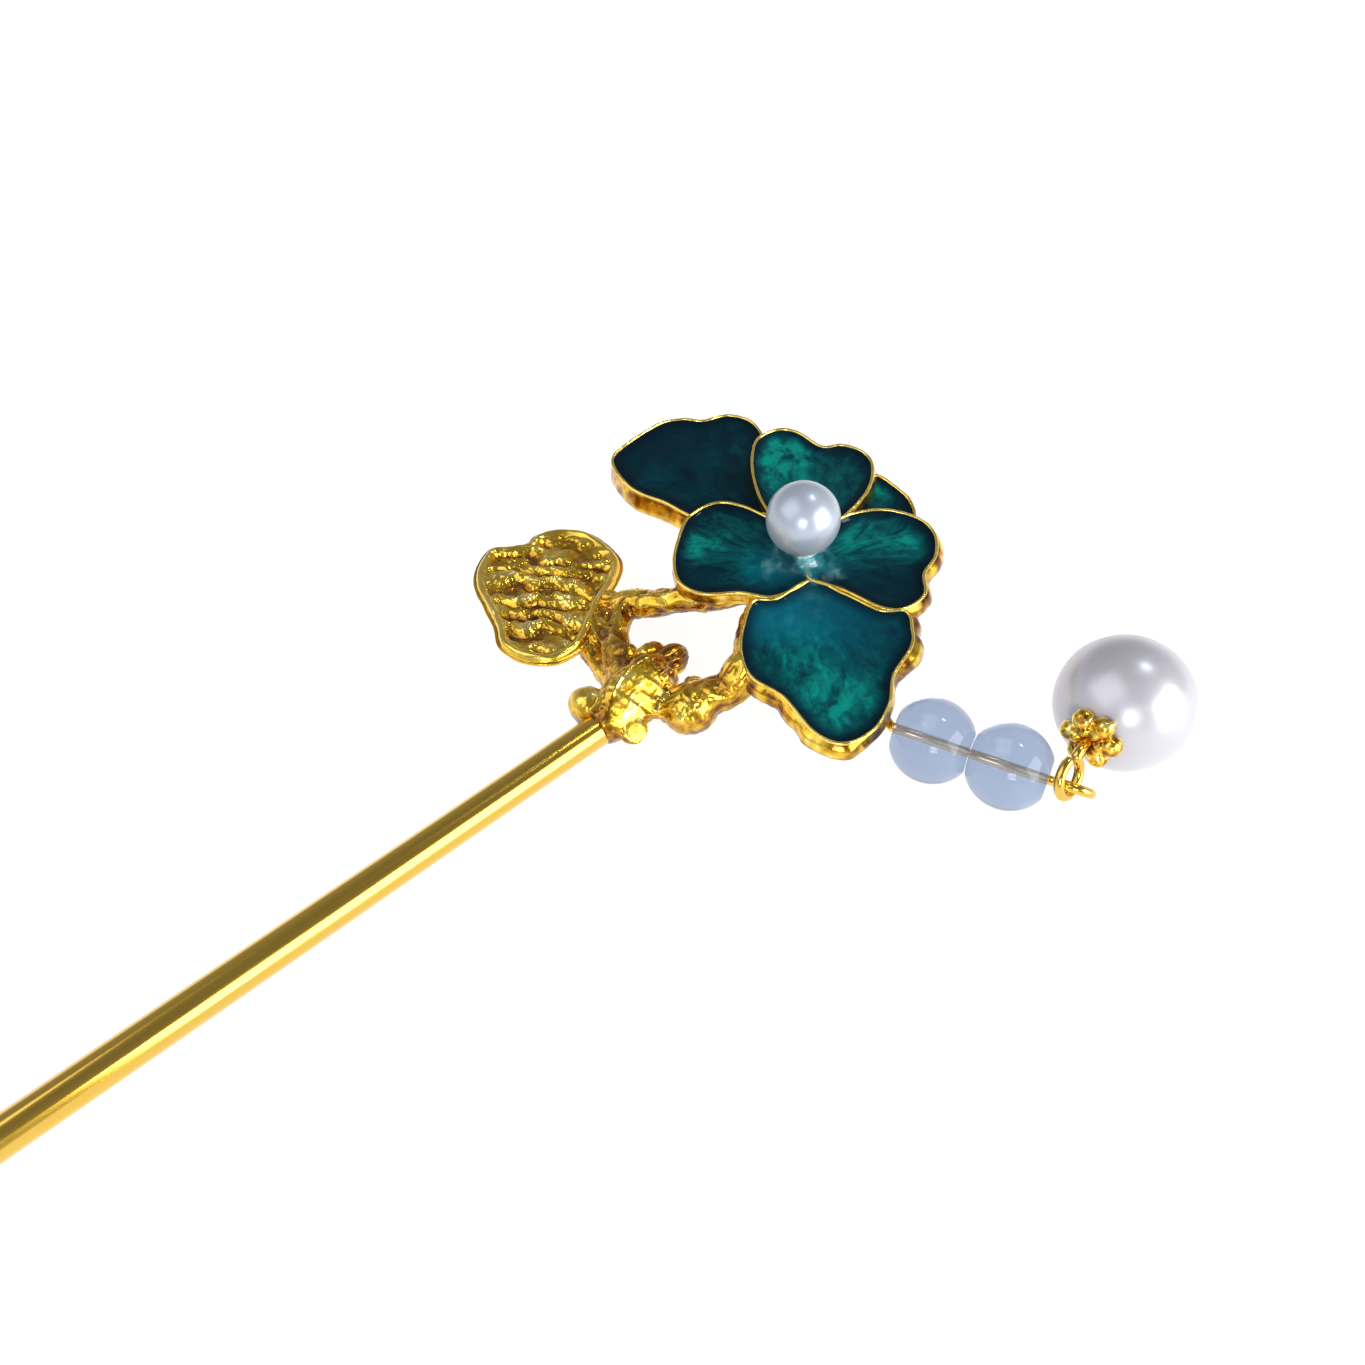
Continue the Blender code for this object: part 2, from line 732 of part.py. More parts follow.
# the origin goes to the middle of the flat back
for piece in [*PIN.objects, *CUTTERS.objects]:
    piece.location -= Vector((*BACK_PAD, 0)) * MM

print("inner eye", [round(v, 3) for v in INNER_EYE], "outer eye", [round(v, 3) for v in OUTER_EYE])
print("drop axis", [round(v, 4) for v in DROP], "contact", [round(v, 3) for v in CONTACT])
print("contact axis", [round(v, 4) for v in CONTACT_AXIS])
print("pearl axis", [round(v, 4) for v in SHANK], "bend", [round(v, 3) for v in BEND])
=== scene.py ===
"""Looks of the decorative hair pin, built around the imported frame.

Lengths are millimetres, set out from the middle of the flower, with the stick along x.
ORIGIN moves them to the frame's own origin, and MM turns them into metres.
"""
import math

import bmesh
import bpy
import numpy as np
from mathutils import Matrix, Vector


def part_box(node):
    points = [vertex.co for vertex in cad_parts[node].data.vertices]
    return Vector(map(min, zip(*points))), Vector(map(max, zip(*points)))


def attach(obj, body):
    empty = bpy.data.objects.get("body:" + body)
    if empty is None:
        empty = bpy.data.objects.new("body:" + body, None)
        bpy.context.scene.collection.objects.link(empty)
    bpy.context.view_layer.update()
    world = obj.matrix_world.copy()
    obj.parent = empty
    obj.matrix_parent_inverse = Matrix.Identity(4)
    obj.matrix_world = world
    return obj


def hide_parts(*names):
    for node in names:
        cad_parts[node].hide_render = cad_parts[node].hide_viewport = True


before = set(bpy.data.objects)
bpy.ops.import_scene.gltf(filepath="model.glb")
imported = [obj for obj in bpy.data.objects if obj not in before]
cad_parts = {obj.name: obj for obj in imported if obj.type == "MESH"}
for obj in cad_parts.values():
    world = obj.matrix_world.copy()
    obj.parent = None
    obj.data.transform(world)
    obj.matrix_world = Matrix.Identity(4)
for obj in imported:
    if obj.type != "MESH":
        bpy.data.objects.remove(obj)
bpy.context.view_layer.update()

MM = 0.001
ORIGIN = np.array([14.0, 0.0, 0.0])


# --- noise -----------------------------------------------------------------
HASH_MASK = 0xFFFFFFFF


def lattice(ix, iy, iz, seed):
    """A repeatable value from 0 to 1 at each whole-number point."""
    h = (ix * 374761393 + iy * 668265263 + iz * 1274126177 + seed * 2246822519) & HASH_MASK
    h = ((h ^ (h >> 13)) * 1274126177) & HASH_MASK
    h = ((h ^ (h >> 16)) * 2654435761) & HASH_MASK
    return ((h >> 8) & 0xFFFF) / 65535.0


def value_noise(p, seed):
    """Smooth noise from -1 to 1 at each row of p."""
    p = np.asarray(p, float)
    cell = np.floor(p).astype(np.int64)
    f = p - cell
    f = f * f * f * (f * (f * 6 - 15) + 10)
    total = 0.0
    for dx in (0, 1):
        for dy in (0, 1):
            for dz in (0, 1):
                weight = (
                    (f[:, 0] if dx else 1 - f[:, 0])
                    * (f[:, 1] if dy else 1 - f[:, 1])
                    * (f[:, 2] if dz else 1 - f[:, 2])
                )
                total = total + weight * lattice(
                    cell[:, 0] + dx, cell[:, 1] + dy, cell[:, 2] + dz, seed
                )
    return total * 2 - 1


def fractal(p, octaves, seed):
    """Noise from -1 to 1, in which each octave is half as strong and half as wide."""
    total, size, norm = 0.0, 1.0, 0.0
    p = np.asarray(p, float)
    for i in range(octaves):
        total = total + size * value_noise(p * 2.03**i + 17.3 * i, seed + i)
        norm += size
        size *= 0.5
    return total / norm


def ridged(p, octaves, seed):
    """Sharp crests at 1, wide valleys at 0."""
    total, size, norm = 0.0, 1.0, 0.0
    p = np.asarray(p, float)
    for i in range(octaves):
        crest = 1 - np.abs(value_noise(p * 2.1**i + 9.1 * i, seed + i)) * 2
        total = total + size * crest.clip(0, 1)
        norm += size
        size *= 0.5
    return total / norm


def smoothstep(a, b, x):
    t = np.clip((x - a) / (b - a), 0, 1)
    return t * t * (3 - 2 * t)


# --- directions and places --------------------------------------------------
def unit(heading):
    return np.array([math.cos(math.radians(heading)), math.sin(math.radians(heading)), 0.0])


def normed(v):
    v = np.asarray(v, float)
    return v / np.linalg.norm(v)


FLOWER_HEADING = 46.75
ALONG = unit(FLOWER_HEADING)
RIGHT = unit(FLOWER_HEADING - 90)
TILT = math.radians(6.0)
NORMAL = np.array([0, 0, 1]) * math.cos(TILT) - ALONG * math.sin(TILT)
UP = np.cross(NORMAL, RIGHT)
CENTRE = np.array([0, 0, 6.4])


def on_flower(p):
    """Rows of (right, along, above) in the flower's own frame, to world millimetres."""
    p = np.atleast_2d(np.asarray(p, float))
    return CENTRE + p[:, :1] * RIGHT + p[:, 1:2] * UP + p[:, 2:3] * NORMAL


# the strand of two clear beads, and the eyes at its ends
DROP = unit(-68.5)
INNER_BEAD = np.array([-4.54, -17.79, 3.05])
BEAD_STEP = 5.38
EYE_REACH = 4.25
OUTER_BEAD = INNER_BEAD + DROP * BEAD_STEP
INNER_EYE = INNER_BEAD - DROP * EYE_REACH
OUTER_EYE = OUTER_BEAD + DROP * EYE_REACH
STRAND_MID = (INNER_BEAD + OUTER_BEAD) / 2


# --- lines ------------------------------------------------------------------
def raised(points, heights):
    """2-D rows with a height added to each."""
    return np.column_stack([points, np.broadcast_to(heights, len(points))])


def turns(sides):
    return np.arange(sides) * 2 * math.pi / sides


def spline(points, per, closed=False):
    """Catmull-Rom curve through the points, with per steps to each span."""
    pts = np.asarray(points, float)
    n = len(pts)
    out = []
    for i in range(n if closed else n - 1):
        if closed:
            a, b, c, d = (pts[(i + k - 1) % n] for k in range(4))
        else:
            a, b, c, d = pts[max(i - 1, 0)], pts[i], pts[i + 1], pts[min(i + 2, n - 1)]
        for s in range(per):
            t = s / per
            out.append(
                0.5 * (2 * b + (c - a) * t + (2 * a - 5 * b + 4 * c - d) * t * t
                       + (3 * b - a - 3 * c + d) * t**3)
            )
    if not closed:
        out.append(pts[-1])
    return np.array(out)


def resample(line, step):
    """A closed line with points a step apart."""
    ahead = np.roll(line, -1, 0)
    lengths = np.linalg.norm(ahead - line, axis=1)
    at = np.concatenate([[0], np.cumsum(lengths)])
    count = max(12, int(round(at[-1] / step)))
    want = np.arange(count) * at[-1] / count
    index = np.searchsorted(at, want, "right") - 1
    t = ((want - at[index]) / lengths[index])[:, None]
    return line[index] * (1 - t) + ahead[index] * t


def outward(line):
    """Unit normals of a closed 2-D line, pointing out of it."""
    ahead = np.roll(line, -1, 0) - np.roll(line, 1, 0)
    ahead /= np.linalg.norm(ahead, axis=1)[:, None]
    x, y = line[:, 0], line[:, 1]
    area = (x * np.roll(y, -1) - np.roll(x, -1) * y).sum()
    return np.stack([ahead[:, 1], -ahead[:, 0]], 1) * (1 if area > 0 else -1)


def grown(line, by):
    """A closed 2-D line moved outwards, by one distance or by one for each point."""
    return line + outward(line) * (by if np.isscalar(by) else np.asarray(by)[:, None])


def distance_to(points, line):
    """Shortest distance from each 2-D point to a closed line."""
    a, b = line, np.roll(line, -1, 0)
    best = np.full(len(points), 1e9)
    for i in range(len(a)):
        d = b[i] - a[i]
        t = np.clip(((points - a[i]) @ d) / (d @ d), 0, 1)
        best = np.minimum(best, np.linalg.norm(points - a[i] - t[:, None] * d, axis=1))
    return best


def inside(points, line):
    """Which 2-D points lie within a closed line."""
    result = np.zeros(len(points), bool)
    for a, b in zip(line, np.roll(line, -1, 0)):
        spans = (a[1] > points[:, 1]) != (b[1] > points[:, 1])
        with np.errstate(divide="ignore", invalid="ignore"):
            cut = a[0] + (points[:, 1] - a[1]) * (b[0] - a[0]) / (b[1] - a[1])
        result ^= spans & (points[:, 0] < cut)
    return result


# --- shells -----------------------------------------------------------------
def band(a, b, count):
    """Faces between two rings of count points that start at a and b."""
    return [(a + j, a + (j + 1) % count, b + (j + 1) % count, b + j) for j in range(count)]


def fan(a, count, tip):
    """Faces from the ring that starts at a to one point."""
    return [(a + j, a + (j + 1) % count, tip) for j in range(count)]


def concentric(edge, middle, levels, power=1.0):
    """Copies of a closed 2-D line that shrink to its middle, as one array of points."""
    sizes = [(1 - k / levels) ** power for k in range(levels)]
    return np.concatenate([middle + (edge - middle) * size for size in sizes])


def disc(levels, count):
    """Faces over concentric rings and a last point in their middle."""
    faces = []
    for k in range(levels - 1):
        faces += band(k * count, (k + 1) * count, count)
    return faces + fan((levels - 1) * count, count, levels * count)


def loft(rings, closed=False):
    """Rings of equal length as one shell: joined end to end, or with both ends capped."""
    rings = [np.asarray(r, float) for r in rings]
    count, total = len(rings[0]), len(rings)
    faces = []
    for i in range(total if closed else total - 1):
        faces += band(i * count, ((i + 1) % total) * count, count)
    verts = np.concatenate(rings)
    if not closed:
        n = len(verts)
        verts = np.concatenate([verts, [rings[0].mean(0)], [rings[-1].mean(0)]])
        for first, last in zip(fan(0, count, n), fan((total - 1) * count, count, n + 1)):
            faces += [first, last]
    return verts, faces


def cross_axes(axis):
    side = np.array([0, 0, 1.0]) if abs(axis[2]) < 0.9 else np.array([1.0, 0, 0])
    across = normed(np.cross(axis, side))
    return across, normed(np.cross(axis, across))


def ring(centre, across, other, radius, sides):
    t = turns(sides)
    return centre + radius * (np.cos(t)[:, None] * across + np.sin(t)[:, None] * other)


def lathe(centre, axis, profile, sides, closed=False):
    """A turned shape from its profile, in pairs of (distance along the axis, radius)."""
    axis = normed(axis)
    across, other = cross_axes(axis)
    rings = [ring(np.asarray(centre) + axis * z, across, other, r, sides) for z, r in profile]
    return loft(rings, closed)


def sweep(path, radii, sides, closed=False):
    """A round bar along a path."""
    path = np.asarray(path, float)
    count = len(path)
    radii = np.broadcast_to(np.asarray(radii, float), (count,))
    across, rings = None, []
    for i in range(count):
        if closed:
            ahead = normed(path[(i + 1) % count] - path[i - 1])
        else:
            ahead = normed(path[min(i + 1, count - 1)] - path[max(i - 1, 0)])
        if across is None:
            across = cross_axes(ahead)[0]
        across = normed(across - ahead * across.dot(ahead))
        rings.append(ring(path[i], across, np.cross(ahead, across), radii[i], sides))
    return loft(rings, closed)


def ball(centre, radii, segments, rows):
    """An ellipsoid."""
    rings = []
    t = turns(segments)
    for i in range(1, rows):
        tilt = math.pi * i / rows - math.pi / 2
        rings.append(np.asarray(centre) + np.column_stack([
            radii[0] * math.cos(tilt) * np.cos(t), radii[1] * math.cos(tilt) * np.sin(t),
            np.full(segments, radii[2] * math.sin(tilt))]))
    return loft(rings)


def normals_of(verts, faces):
    """Vertex normals of a shell."""
    verts = np.asarray(verts, float)
    total = np.zeros_like(verts)
    tri = np.array([(f[0], f[i], f[i + 1]) for f in faces for i in range(1, len(f) - 1)])
    n = np.cross(verts[tri[:, 1]] - verts[tri[:, 0]], verts[tri[:, 2]] - verts[tri[:, 0]])
    for k in range(3):
        np.add.at(total, tri[:, k], n)
    return total / np.maximum(np.linalg.norm(total, axis=1), 1e-12)[:, None]


# --- meshes and pieces --------------------------------------------------------
def shell_mesh(name, verts, faces):
    """A Blender mesh with its normals turned outwards, from verts in metres."""
    mesh = bpy.data.meshes.new(name)
    mesh.from_pydata([tuple(v) for v in verts], [], [tuple(int(i) for i in f) for f in faces])
    work = bmesh.new()
    work.from_mesh(mesh)
    bmesh.ops.recalc_face_normals(work, faces=work.faces)
    work.to_mesh(mesh)
    work.free()
    return mesh


def in_scene(name, data):
    made = bpy.data.objects.new(name, data)
    bpy.context.scene.collection.objects.link(made)
    return made


def make(name, verts, faces, material, body, nodes, attributes=None):
    """One visible piece, riding on its body in place of its CAD nodes."""
    mesh = shell_mesh(name, (np.asarray(verts, float) + ORIGIN) * MM, faces)
    for key, values in (attributes or {}).items():
        values = np.asarray(values, np.float32)
        if values.ndim == 2:
            layer = mesh.attributes.new(key, "FLOAT_VECTOR", "POINT")
            layer.data.foreach_set("vector", values.ravel())
        else:
            layer = mesh.attributes.new(key, "FLOAT", "POINT")
            layer.data.foreach_set("value", values)
    mesh.shade_smooth()
    mesh.materials.append(material)
    made = in_scene(name, mesh)
    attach(made, body)
    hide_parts(*nodes)


class Build:
    """Collects the verts and faces of several shells into one mesh."""

    def __init__(self):
        self.verts, self.faces, self.count = [], [], 0

    def add(self, verts, faces):
        self.faces.extend([tuple(i + self.count for i in f) for f in faces])
        self.verts.append(np.asarray(verts, float))
        self.count += len(verts)

    def points(self):
        return np.concatenate(self.verts)


def fused(build, voxel, rounds):
    """The shells joined into one skin by a voxel remesh and smoothed, as (verts, faces)."""
    temp = in_scene("work", shell_mesh("work", build.points() * MM, build.faces))
    remesh = temp.modifiers.new("remesh", "REMESH")
    remesh.mode = "VOXEL"
    remesh.voxel_size = voxel * MM
    smooth = temp.modifiers.new("smooth", "SMOOTH")
    smooth.iterations = rounds
    smooth.factor = 0.5
    graph = bpy.context.evaluated_depsgraph_get()
    graph.update()
    done = temp.evaluated_get(graph).to_mesh()
    verts = np.empty(len(done.vertices) * 3, np.float32)
    done.vertices.foreach_get("co", verts)
    faces = [tuple(p.vertices) for p in done.polygons]
    temp.evaluated_get(graph).to_mesh_clear()
    bpy.data.objects.remove(temp, do_unlink=True)
    return verts.reshape(-1, 3).astype(float) / MM, faces


# --- materials -------------------------------------------------------------
def set_stops(ramp, stops):
    """Gives a colour ramp its stops, as pairs of (place, colour)."""
    while len(ramp.elements) < len(stops):
        ramp.elements.new(0.5)
    for element, (at, colour) in zip(ramp.elements, stops):
        element.position = at
        element.color = (*colour, 1)


class Nodes:
    """A material, with short calls that add nodes and return the socket to use next."""

    def __init__(self, name):
        self.material = bpy.data.materials.new(name)
        self.material.use_nodes = True
        self.tree = self.material.node_tree
        self.shader = self.tree.nodes["Principled BSDF"]

    def node(self, kind, links=None, **settings):
        made = self.tree.nodes.new(kind)
        for key, value in settings.items():
            setattr(made, key, value)
        for key, value in (links or {}).items():
            self.put(made.inputs[key], value)
        return made

    def put(self, socket, value):
        if hasattr(value, "is_linked"):
            self.tree.links.new(value, socket)
        else:
            socket.default_value = value

    def set(self, **values):
        for key, value in values.items():
            self.put(self.shader.inputs[key.replace("_", " ")], value)

    def scaled(self, vector, scale):
        mapping = self.node("ShaderNodeMapping", {"Vector": vector})
        mapping.inputs["Scale"].default_value = scale
        return mapping.outputs["Vector"]

    def coords(self, scale=(1, 1, 1)):
        return self.scaled(self.node("ShaderNodeTexCoord").outputs["Object"], scale)

    def noise(self, vector, scale, detail, rough, distortion=0.0):
        return self.node(
            "ShaderNodeTexNoise",
            {"Vector": vector, "Scale": scale, "Detail": detail, "Roughness": rough,
             "Distortion": distortion},
        ).outputs["Fac"]

    def attribute(self, name, output="Fac"):
        return self.node("ShaderNodeAttribute", attribute_name=name).outputs[output]

    def math(self, operation, a, b, clamp=False):
        made = self.node("ShaderNodeMath", operation=operation, use_clamp=clamp)
        self.put(made.inputs[0], a)
        self.put(made.inputs[1], b)
        return made.outputs[0]

    def times(self, a, b, clamp=False):
        return self.math("MULTIPLY", a, b, clamp)

    def span(self, value, a, b, c, d):
        """The value's range from a to b, stretched to run from c to d."""
        return self.node(
            "ShaderNodeMapRange",
            {"Value": value, "From Min": a, "From Max": b, "To Min": c, "To Max": d},
        ).outputs["Result"]

    def ramp(self, value, *stops):
        made = self.node("ShaderNodeValToRGB", {"Fac": value})
        set_stops(made.color_ramp, stops)
        return made.outputs["Color"]

    def mix(self, factor, a, b):
        made = self.node("ShaderNodeMix", data_type="RGBA")
        self.put(made.inputs["Factor"], factor)
        # the colour sockets, which share their names with those of other types
        for socket, value in ((made.inputs[6], a), (made.inputs[7], b)):
            self.put(socket, value if not isinstance(value, tuple) else (*value, 1))
        return made.outputs[2]

    def bump(self, height, distance, strength, under=None):
        made = self.node(
            "ShaderNodeBump", {"Height": height, "Distance": distance, "Strength": strength}
        )
        if under is not None:
            self.put(made.inputs["Normal"], under)
        return made.outputs["Normal"]


def cast_gold():
    """Plated casting: painted highlights on crests, painted shade in creases, a skin with fine
    grain.
    """
    m = Nodes("cast_gold")
    p = m.coords()
    relief_light_and_shade = m.attribute("relief_light_and_shade")
    broad = m.noise(p, 420, 4, 0.55)
    fine = m.noise(p, 2600, 4, 0.6)
    # tone: the relief value paints highlights on crests and shade in creases, plus random broad
    # tone
    tone = m.math("ADD", m.times(relief_light_and_shade, 0.85), m.times(broad, 0.25), True)
    colour = m.ramp(
        tone, (0.1, (0.08, 0.024, 0.0005)), (0.32, (0.37, 0.15, 0.002)),
        (0.56, (0.75, 0.43, 0.012)), (0.8, (0.94, 0.66, 0.08)), (0.97, (1.0, 0.8, 0.3)),
    )
    grain = m.bump(fine, 0.00002, 0.5)
    dents = m.bump(m.noise(p, 1100, 3, 0.6), 0.00006, 0.65, grain)
    m.set(
        Base_Color=colour, Metallic=1.0, Roughness=m.span(broad, 0.3, 0.7, 0.16, 0.3),
        Coat_Weight=0.45, Coat_Roughness=0.12, Coat_IOR=1.65, Normal=dents,
    )
    return m.material


def polished_gold(name, along=(1, 1, 1)):
    """Drawn wire and rod: drawing marks, and paler painted light where the wire runs inside a bead.
    """
    m = Nodes(name)
    p = m.coords(along)
    streaks = m.noise(p, 1500, 4, 0.6)
    broad = m.noise(p, 260, 3, 0.5)
    plated = m.ramp(
        broad, (0.25, (0.7, 0.39, 0.018)), (0.5, (0.8, 0.5, 0.035)), (0.75, (0.88, 0.59, 0.06))
    )
    # painted light: inside the beads the wire is painted paler and less metallic
    painted_light_in_bead = m.attribute("painted_light_in_bead")
    m.set(
        Base_Color=m.mix(painted_light_in_bead, plated, (1.0, 0.72, 0.38)),
        Metallic=m.span(painted_light_in_bead, 0.0, 1.0, 1.0, 0.5), Roughness=m.span(streaks, 0.3, 0.7, 0.1, 0.24),
        Coat_Weight=0.7, Coat_Roughness=0.1, Coat_IOR=1.85,
        Normal=m.bump(streaks, 0.00001, 0.15),
    )
    return m.material


def enamel():
    """Dark teal enamel with drifting mica streaks, a painted blue reflection, painted shade at the
    rims.
    """
    m = Nodes("teal_enamel")
    petal = m.attribute("petal", "Vector")
    glow, painted_blue_reflection, edge = m.attribute("glow"), m.attribute("painted_blue_reflection"), m.attribute("edge")
    drift = m.noise(m.scaled(petal, (2.4, 1.5, 1.0)), 1.0, 4, 0.6, 0.6)
    thin = m.noise(m.scaled(petal, (6.5, 2.4, 1.0)), 1.0, 5, 0.65, 0.8)
    speckle = m.noise(m.coords(), 1500, 3, 0.6)
    calm = m.times(painted_blue_reflection, 0.75)

    def calmed(value, level):
        """Under the painted blue reflection the value drifts to an even level."""
        return m.math("ADD", m.times(value, m.math("SUBTRACT", 1.0, calm)), m.times(calm, level))

    value = m.times(calmed(m.span(drift, 0.3, 0.7, 0.3, 1.35), 0.9), glow)
    value = m.times(value, calmed(m.span(thin, 0.32, 0.7, 0.8, 1.16), 1.0))
    value = m.times(value, m.span(speckle, 0.3, 0.7, 0.85, 1.15))
    # painted shade: the enamel darkens towards the rims
    value = m.times(value, m.span(edge, 0.0, 1.0, 0.12, 1.0), True)
    green = m.ramp(
        value, (0.0, (0.0, 0.006, 0.013)), (0.2, (0.0, 0.024, 0.036)), (0.5, (0.0, 0.085, 0.09)),
        (0.9, (0.001, 0.25, 0.2)),
    )
    blue_reflection_colours = m.ramp(
        value, (0.0, (0.0, 0.009, 0.02)), (0.25, (0.0, 0.05, 0.08)), (0.6, (0.0, 0.105, 0.15)),
        (1.0, (0.003, 0.18, 0.22)),
    )
    m.set(
        # a bluer ramp colours the enamel where the painted blue reflection lies
        Base_Color=m.mix(painted_blue_reflection, green, blue_reflection_colours), Metallic=0.1, Specular_IOR_Level=0.05,
        Roughness=m.span(thin, 0.3, 0.7, 0.4, 0.5),
        Coat_Weight=0.13, Coat_Roughness=0.03, Coat_IOR=1.45,
        Normal=m.bump(m.noise(m.coords(), 260, 2, 0.5), 0.00006, 0.2),
    )
    return m.material


def nacre(name, tint):
    """Pearl coating: a soft metallic sheen with faint clouds."""
    m = Nodes(name)
    p = m.coords()
    cloud = m.noise(p, 160, 3, 0.5, 0.5)
    fine = m.noise(p, 900, 4, 0.55)
    colour = m.ramp(
        cloud, (0.3, tuple(c * 0.93 for c in tint)), (0.5, tint),
        (0.72, (tint[0] * 1.03, tint[1] * 0.985, tint[2] * 1.02)),
    )
    m.set(
        Base_Color=colour, Metallic=0.42, Roughness=m.span(fine, 0.3, 0.7, 0.29, 0.36),
        Coat_Weight=0.35, Coat_Roughness=0.22,
    )
    return m.material


def clear_bead():
    m = Nodes("clear_glass")
    cloud = m.noise(m.coords(), 240, 2, 0.5)
    m.set(
        Base_Color=m.mix(cloud, (0.38, 0.465, 0.645), (0.44, 0.525, 0.69)),
        Roughness=0.03, IOR=1.35, Transmission_Weight=0.86,
        Normal=m.bump(m.noise(m.coords(), 500, 2, 0.5), 0.00002, 0.2),
    )
    return m.material


def clear_resin():
    """A clear teal film with painted highlight strokes on its ripples, strongest near the pearl."""
    m = Nodes("clear_resin")
    ripple = m.noise(m.coords(), 420, 3, 0.5)
    m.set(
        # painted highlights: the ripple crests are painted pale cyan and made opaque
        Base_Color=m.ramp(
            ripple, (0.3, (0.0, 0.1, 0.13)), (0.52, (0.01, 0.3, 0.36)), (0.66, (0.4, 0.85, 0.92))
        ),
        Alpha=m.times(m.span(ripple, 0.42, 0.66, 0.06, 0.9), m.attribute("near")),
        Roughness=0.04, IOR=1.5, Coat_Weight=0.8, Coat_Roughness=0.03, Coat_IOR=1.9,
        Normal=m.bump(ripple, 0.0004, 0.7),
    )
    return m.material


CAST = cast_gold()
WIRE = polished_gold("wire_gold")
ROD = polished_gold("rod_gold", (0.03, 1, 1))
ENAMEL = enamel()
PEARL = nacre("pearl_coat", (0.6, 0.59, 0.64))
# the small pearl's darker, bluer tint is painted reflection of the teal enamel around it
SMALL_PEARL = nacre("small_pearl_painted_teal_reflection", (0.46, 0.515, 0.6))
GLASS = clear_bead()
RESIN = clear_resin()

# --- stick -----------------------------------------------------------------
low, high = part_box("hair_stick")
STICK_R = (high[2] - low[2]) / 2 / MM
TAIL = low[0] / MM - ORIGIN[0]
HEAD = high[0] / MM - ORIGIN[0]
TIP_LENGTH, TIP_R = 0.45, 0.55
TAPER, TAPER_STEPS = 45.5, 60
FULL_FROM, FULL_STEPS = 46, 120  # where the taper has ended

profile = [(TAIL, 0.02), (TAIL + 0.02, 0.16), (TAIL + 0.12, 0.36), (TAIL + 0.25, 0.46)]
profile.append((TAIL + TIP_LENGTH, TIP_R))
for i in range(1, TAPER_STEPS + 1):
    t = i / TAPER_STEPS
    swell = (STICK_R - TIP_R) * math.sin(t * math.pi / 2) ** 1.1
    profile.append((TAIL + TIP_LENGTH + t * TAPER, TIP_R + swell))
for i in range(1, FULL_STEPS + 1):
    profile.append((TAIL + FULL_FROM + (HEAD - TAIL - FULL_FROM) * i / FULL_STEPS, STICK_R))
verts, faces = lathe((0, 0, STICK_R), (1, 0, 0), profile, 72)
uneven = value_noise(verts * [0.06, 0.35, 0.35], 5) * 0.012
verts += normals_of(verts, faces) * uneven[:, None]
make("stick_gold", verts, faces, ROD, "head_and_stick", ["hair_stick"])

# --- petals ----------------------------------------------------------------
# each petal's front level, depth and outline, in the flower's own frame
PETALS = {
    "top": (-0.08, 1.25, [
        (0.8, 0.6), (-1.6, 4.3), (-2.5, 7.2), (-2.7, 10.3), (-2.1, 12.8), (-0.5, 13.9),
        (1.2, 13.6), (3.1, 11.9), (4.8, 12.0), (6.5, 11.2), (7.1, 9.4), (6.3, 6.4), (3.6, 3.0)]),
    "left": (-0.04, 1.17, [
        (0.9, 0.4), (-1.9, 3.8), (-5.2, 5.3), (-7.7, 3.9), (-8.7, 1.2), (-9.0, -1.2), (-8.5, -3.3),
        (-6.8, -4.3), (-4.1, -4.2), (-1.6, -4.6), (1.1, -2.9), (1.0, -1.2)]),
    "right": (0.04, 1.12, [
        (1.1, 0.3), (4.0, 3.5), (7.2, 4.4), (9.9, 3.6), (11.1, 1.8), (10.9, -0.5), (9.8, -2.4),
        (9.6, -4.4), (8.0, -5.8), (6.2, -5.7), (3.6, -4.0), (1.2, -2.9), (1.1, -1.2)]),
    "bottom": (0.0, 1.1, [
        (1.15, -3.0), (-1.4, -4.75), (-3.1, -5.0), (-3.9, -7.2), (-4.2, -9.8), (-3.5, -12.1),
        (-1.4, -13.8), (0.5, -16.7), (2.5, -17.7), (4.7, -16.5), (6.0, -14.2), (6.5, -11.9),
        (8.0, -9.4), (8.3, -7.6), (8.0, -6.0), (6.1, -5.9), (3.5, -4.2)]),
    "upper_left": (-0.8, 2.2, [
        (-14.1, 10.6), (-13.3, 12.6), (-10.4, 15.4), (-8.4, 16.1), (-6.6, 15.9), (-4.3, 16.6),
        (-2.2, 15.4), (-1.2, 12.0), (-1.2, 8.0), (-1.8, 5.0), (-4.0, 3.4), (-7.4, 4.4),
        (-9.7, 6.0), (-12.4, 7.6)]),
    "upper_right": (-0.9, 2.0, [
        (3.4, 2.6), (5.2, 6.4), (6.2, 9.3), (7.6, 9.3), (8.8, 8.1), (9.9, 6.4), (10.0, 4.4),
        (8.6, 3.0), (6.0, 2.0)]),
}
# where the mica is bright: its base level, then (right, along, reach, brightness)
GLOWS = {
    "top": (0.33, [(-0.6, 10.6, 2.8, 0.75), (0.5, 6.8, 2.6, 0.3), (3.6, 7.0, 2.0, 0.12)]),
    "left": (0.16, [(-7.2, 0.8, 1.8, 0.75), (-4.6, 2.4, 2.2, 0.35), (-2.5, -1.2, 2.2, 0.6)]),
    "right": (0.14, [(3.4, 0.2, 2.2, 0.5), (6.5, 2.0, 2.6, 0.6), (9.2, 0.6, 1.6, 0.45)]),
    "bottom": (0.3, [
        (0.5, -6.8, 3.2, 0.3), (0.5, -9.6, 3.0, 0.25), (2.4, -14.0, 2.8, 0.6),
        (-1.6, -6.8, 2.0, 0.25)]),
    "upper_left": (0.1, [(-4.2, 12.5, 2.6, 0.16), (-10.0, 8.8, 2.4, 0.12), (-6.0, 7.0, 2.4, 0.12)]),
    "upper_right": (0.3, [(7.6, 7.4, 1.2, 0.45), (9.0, 5.6, 1.2, 0.15)]),
}
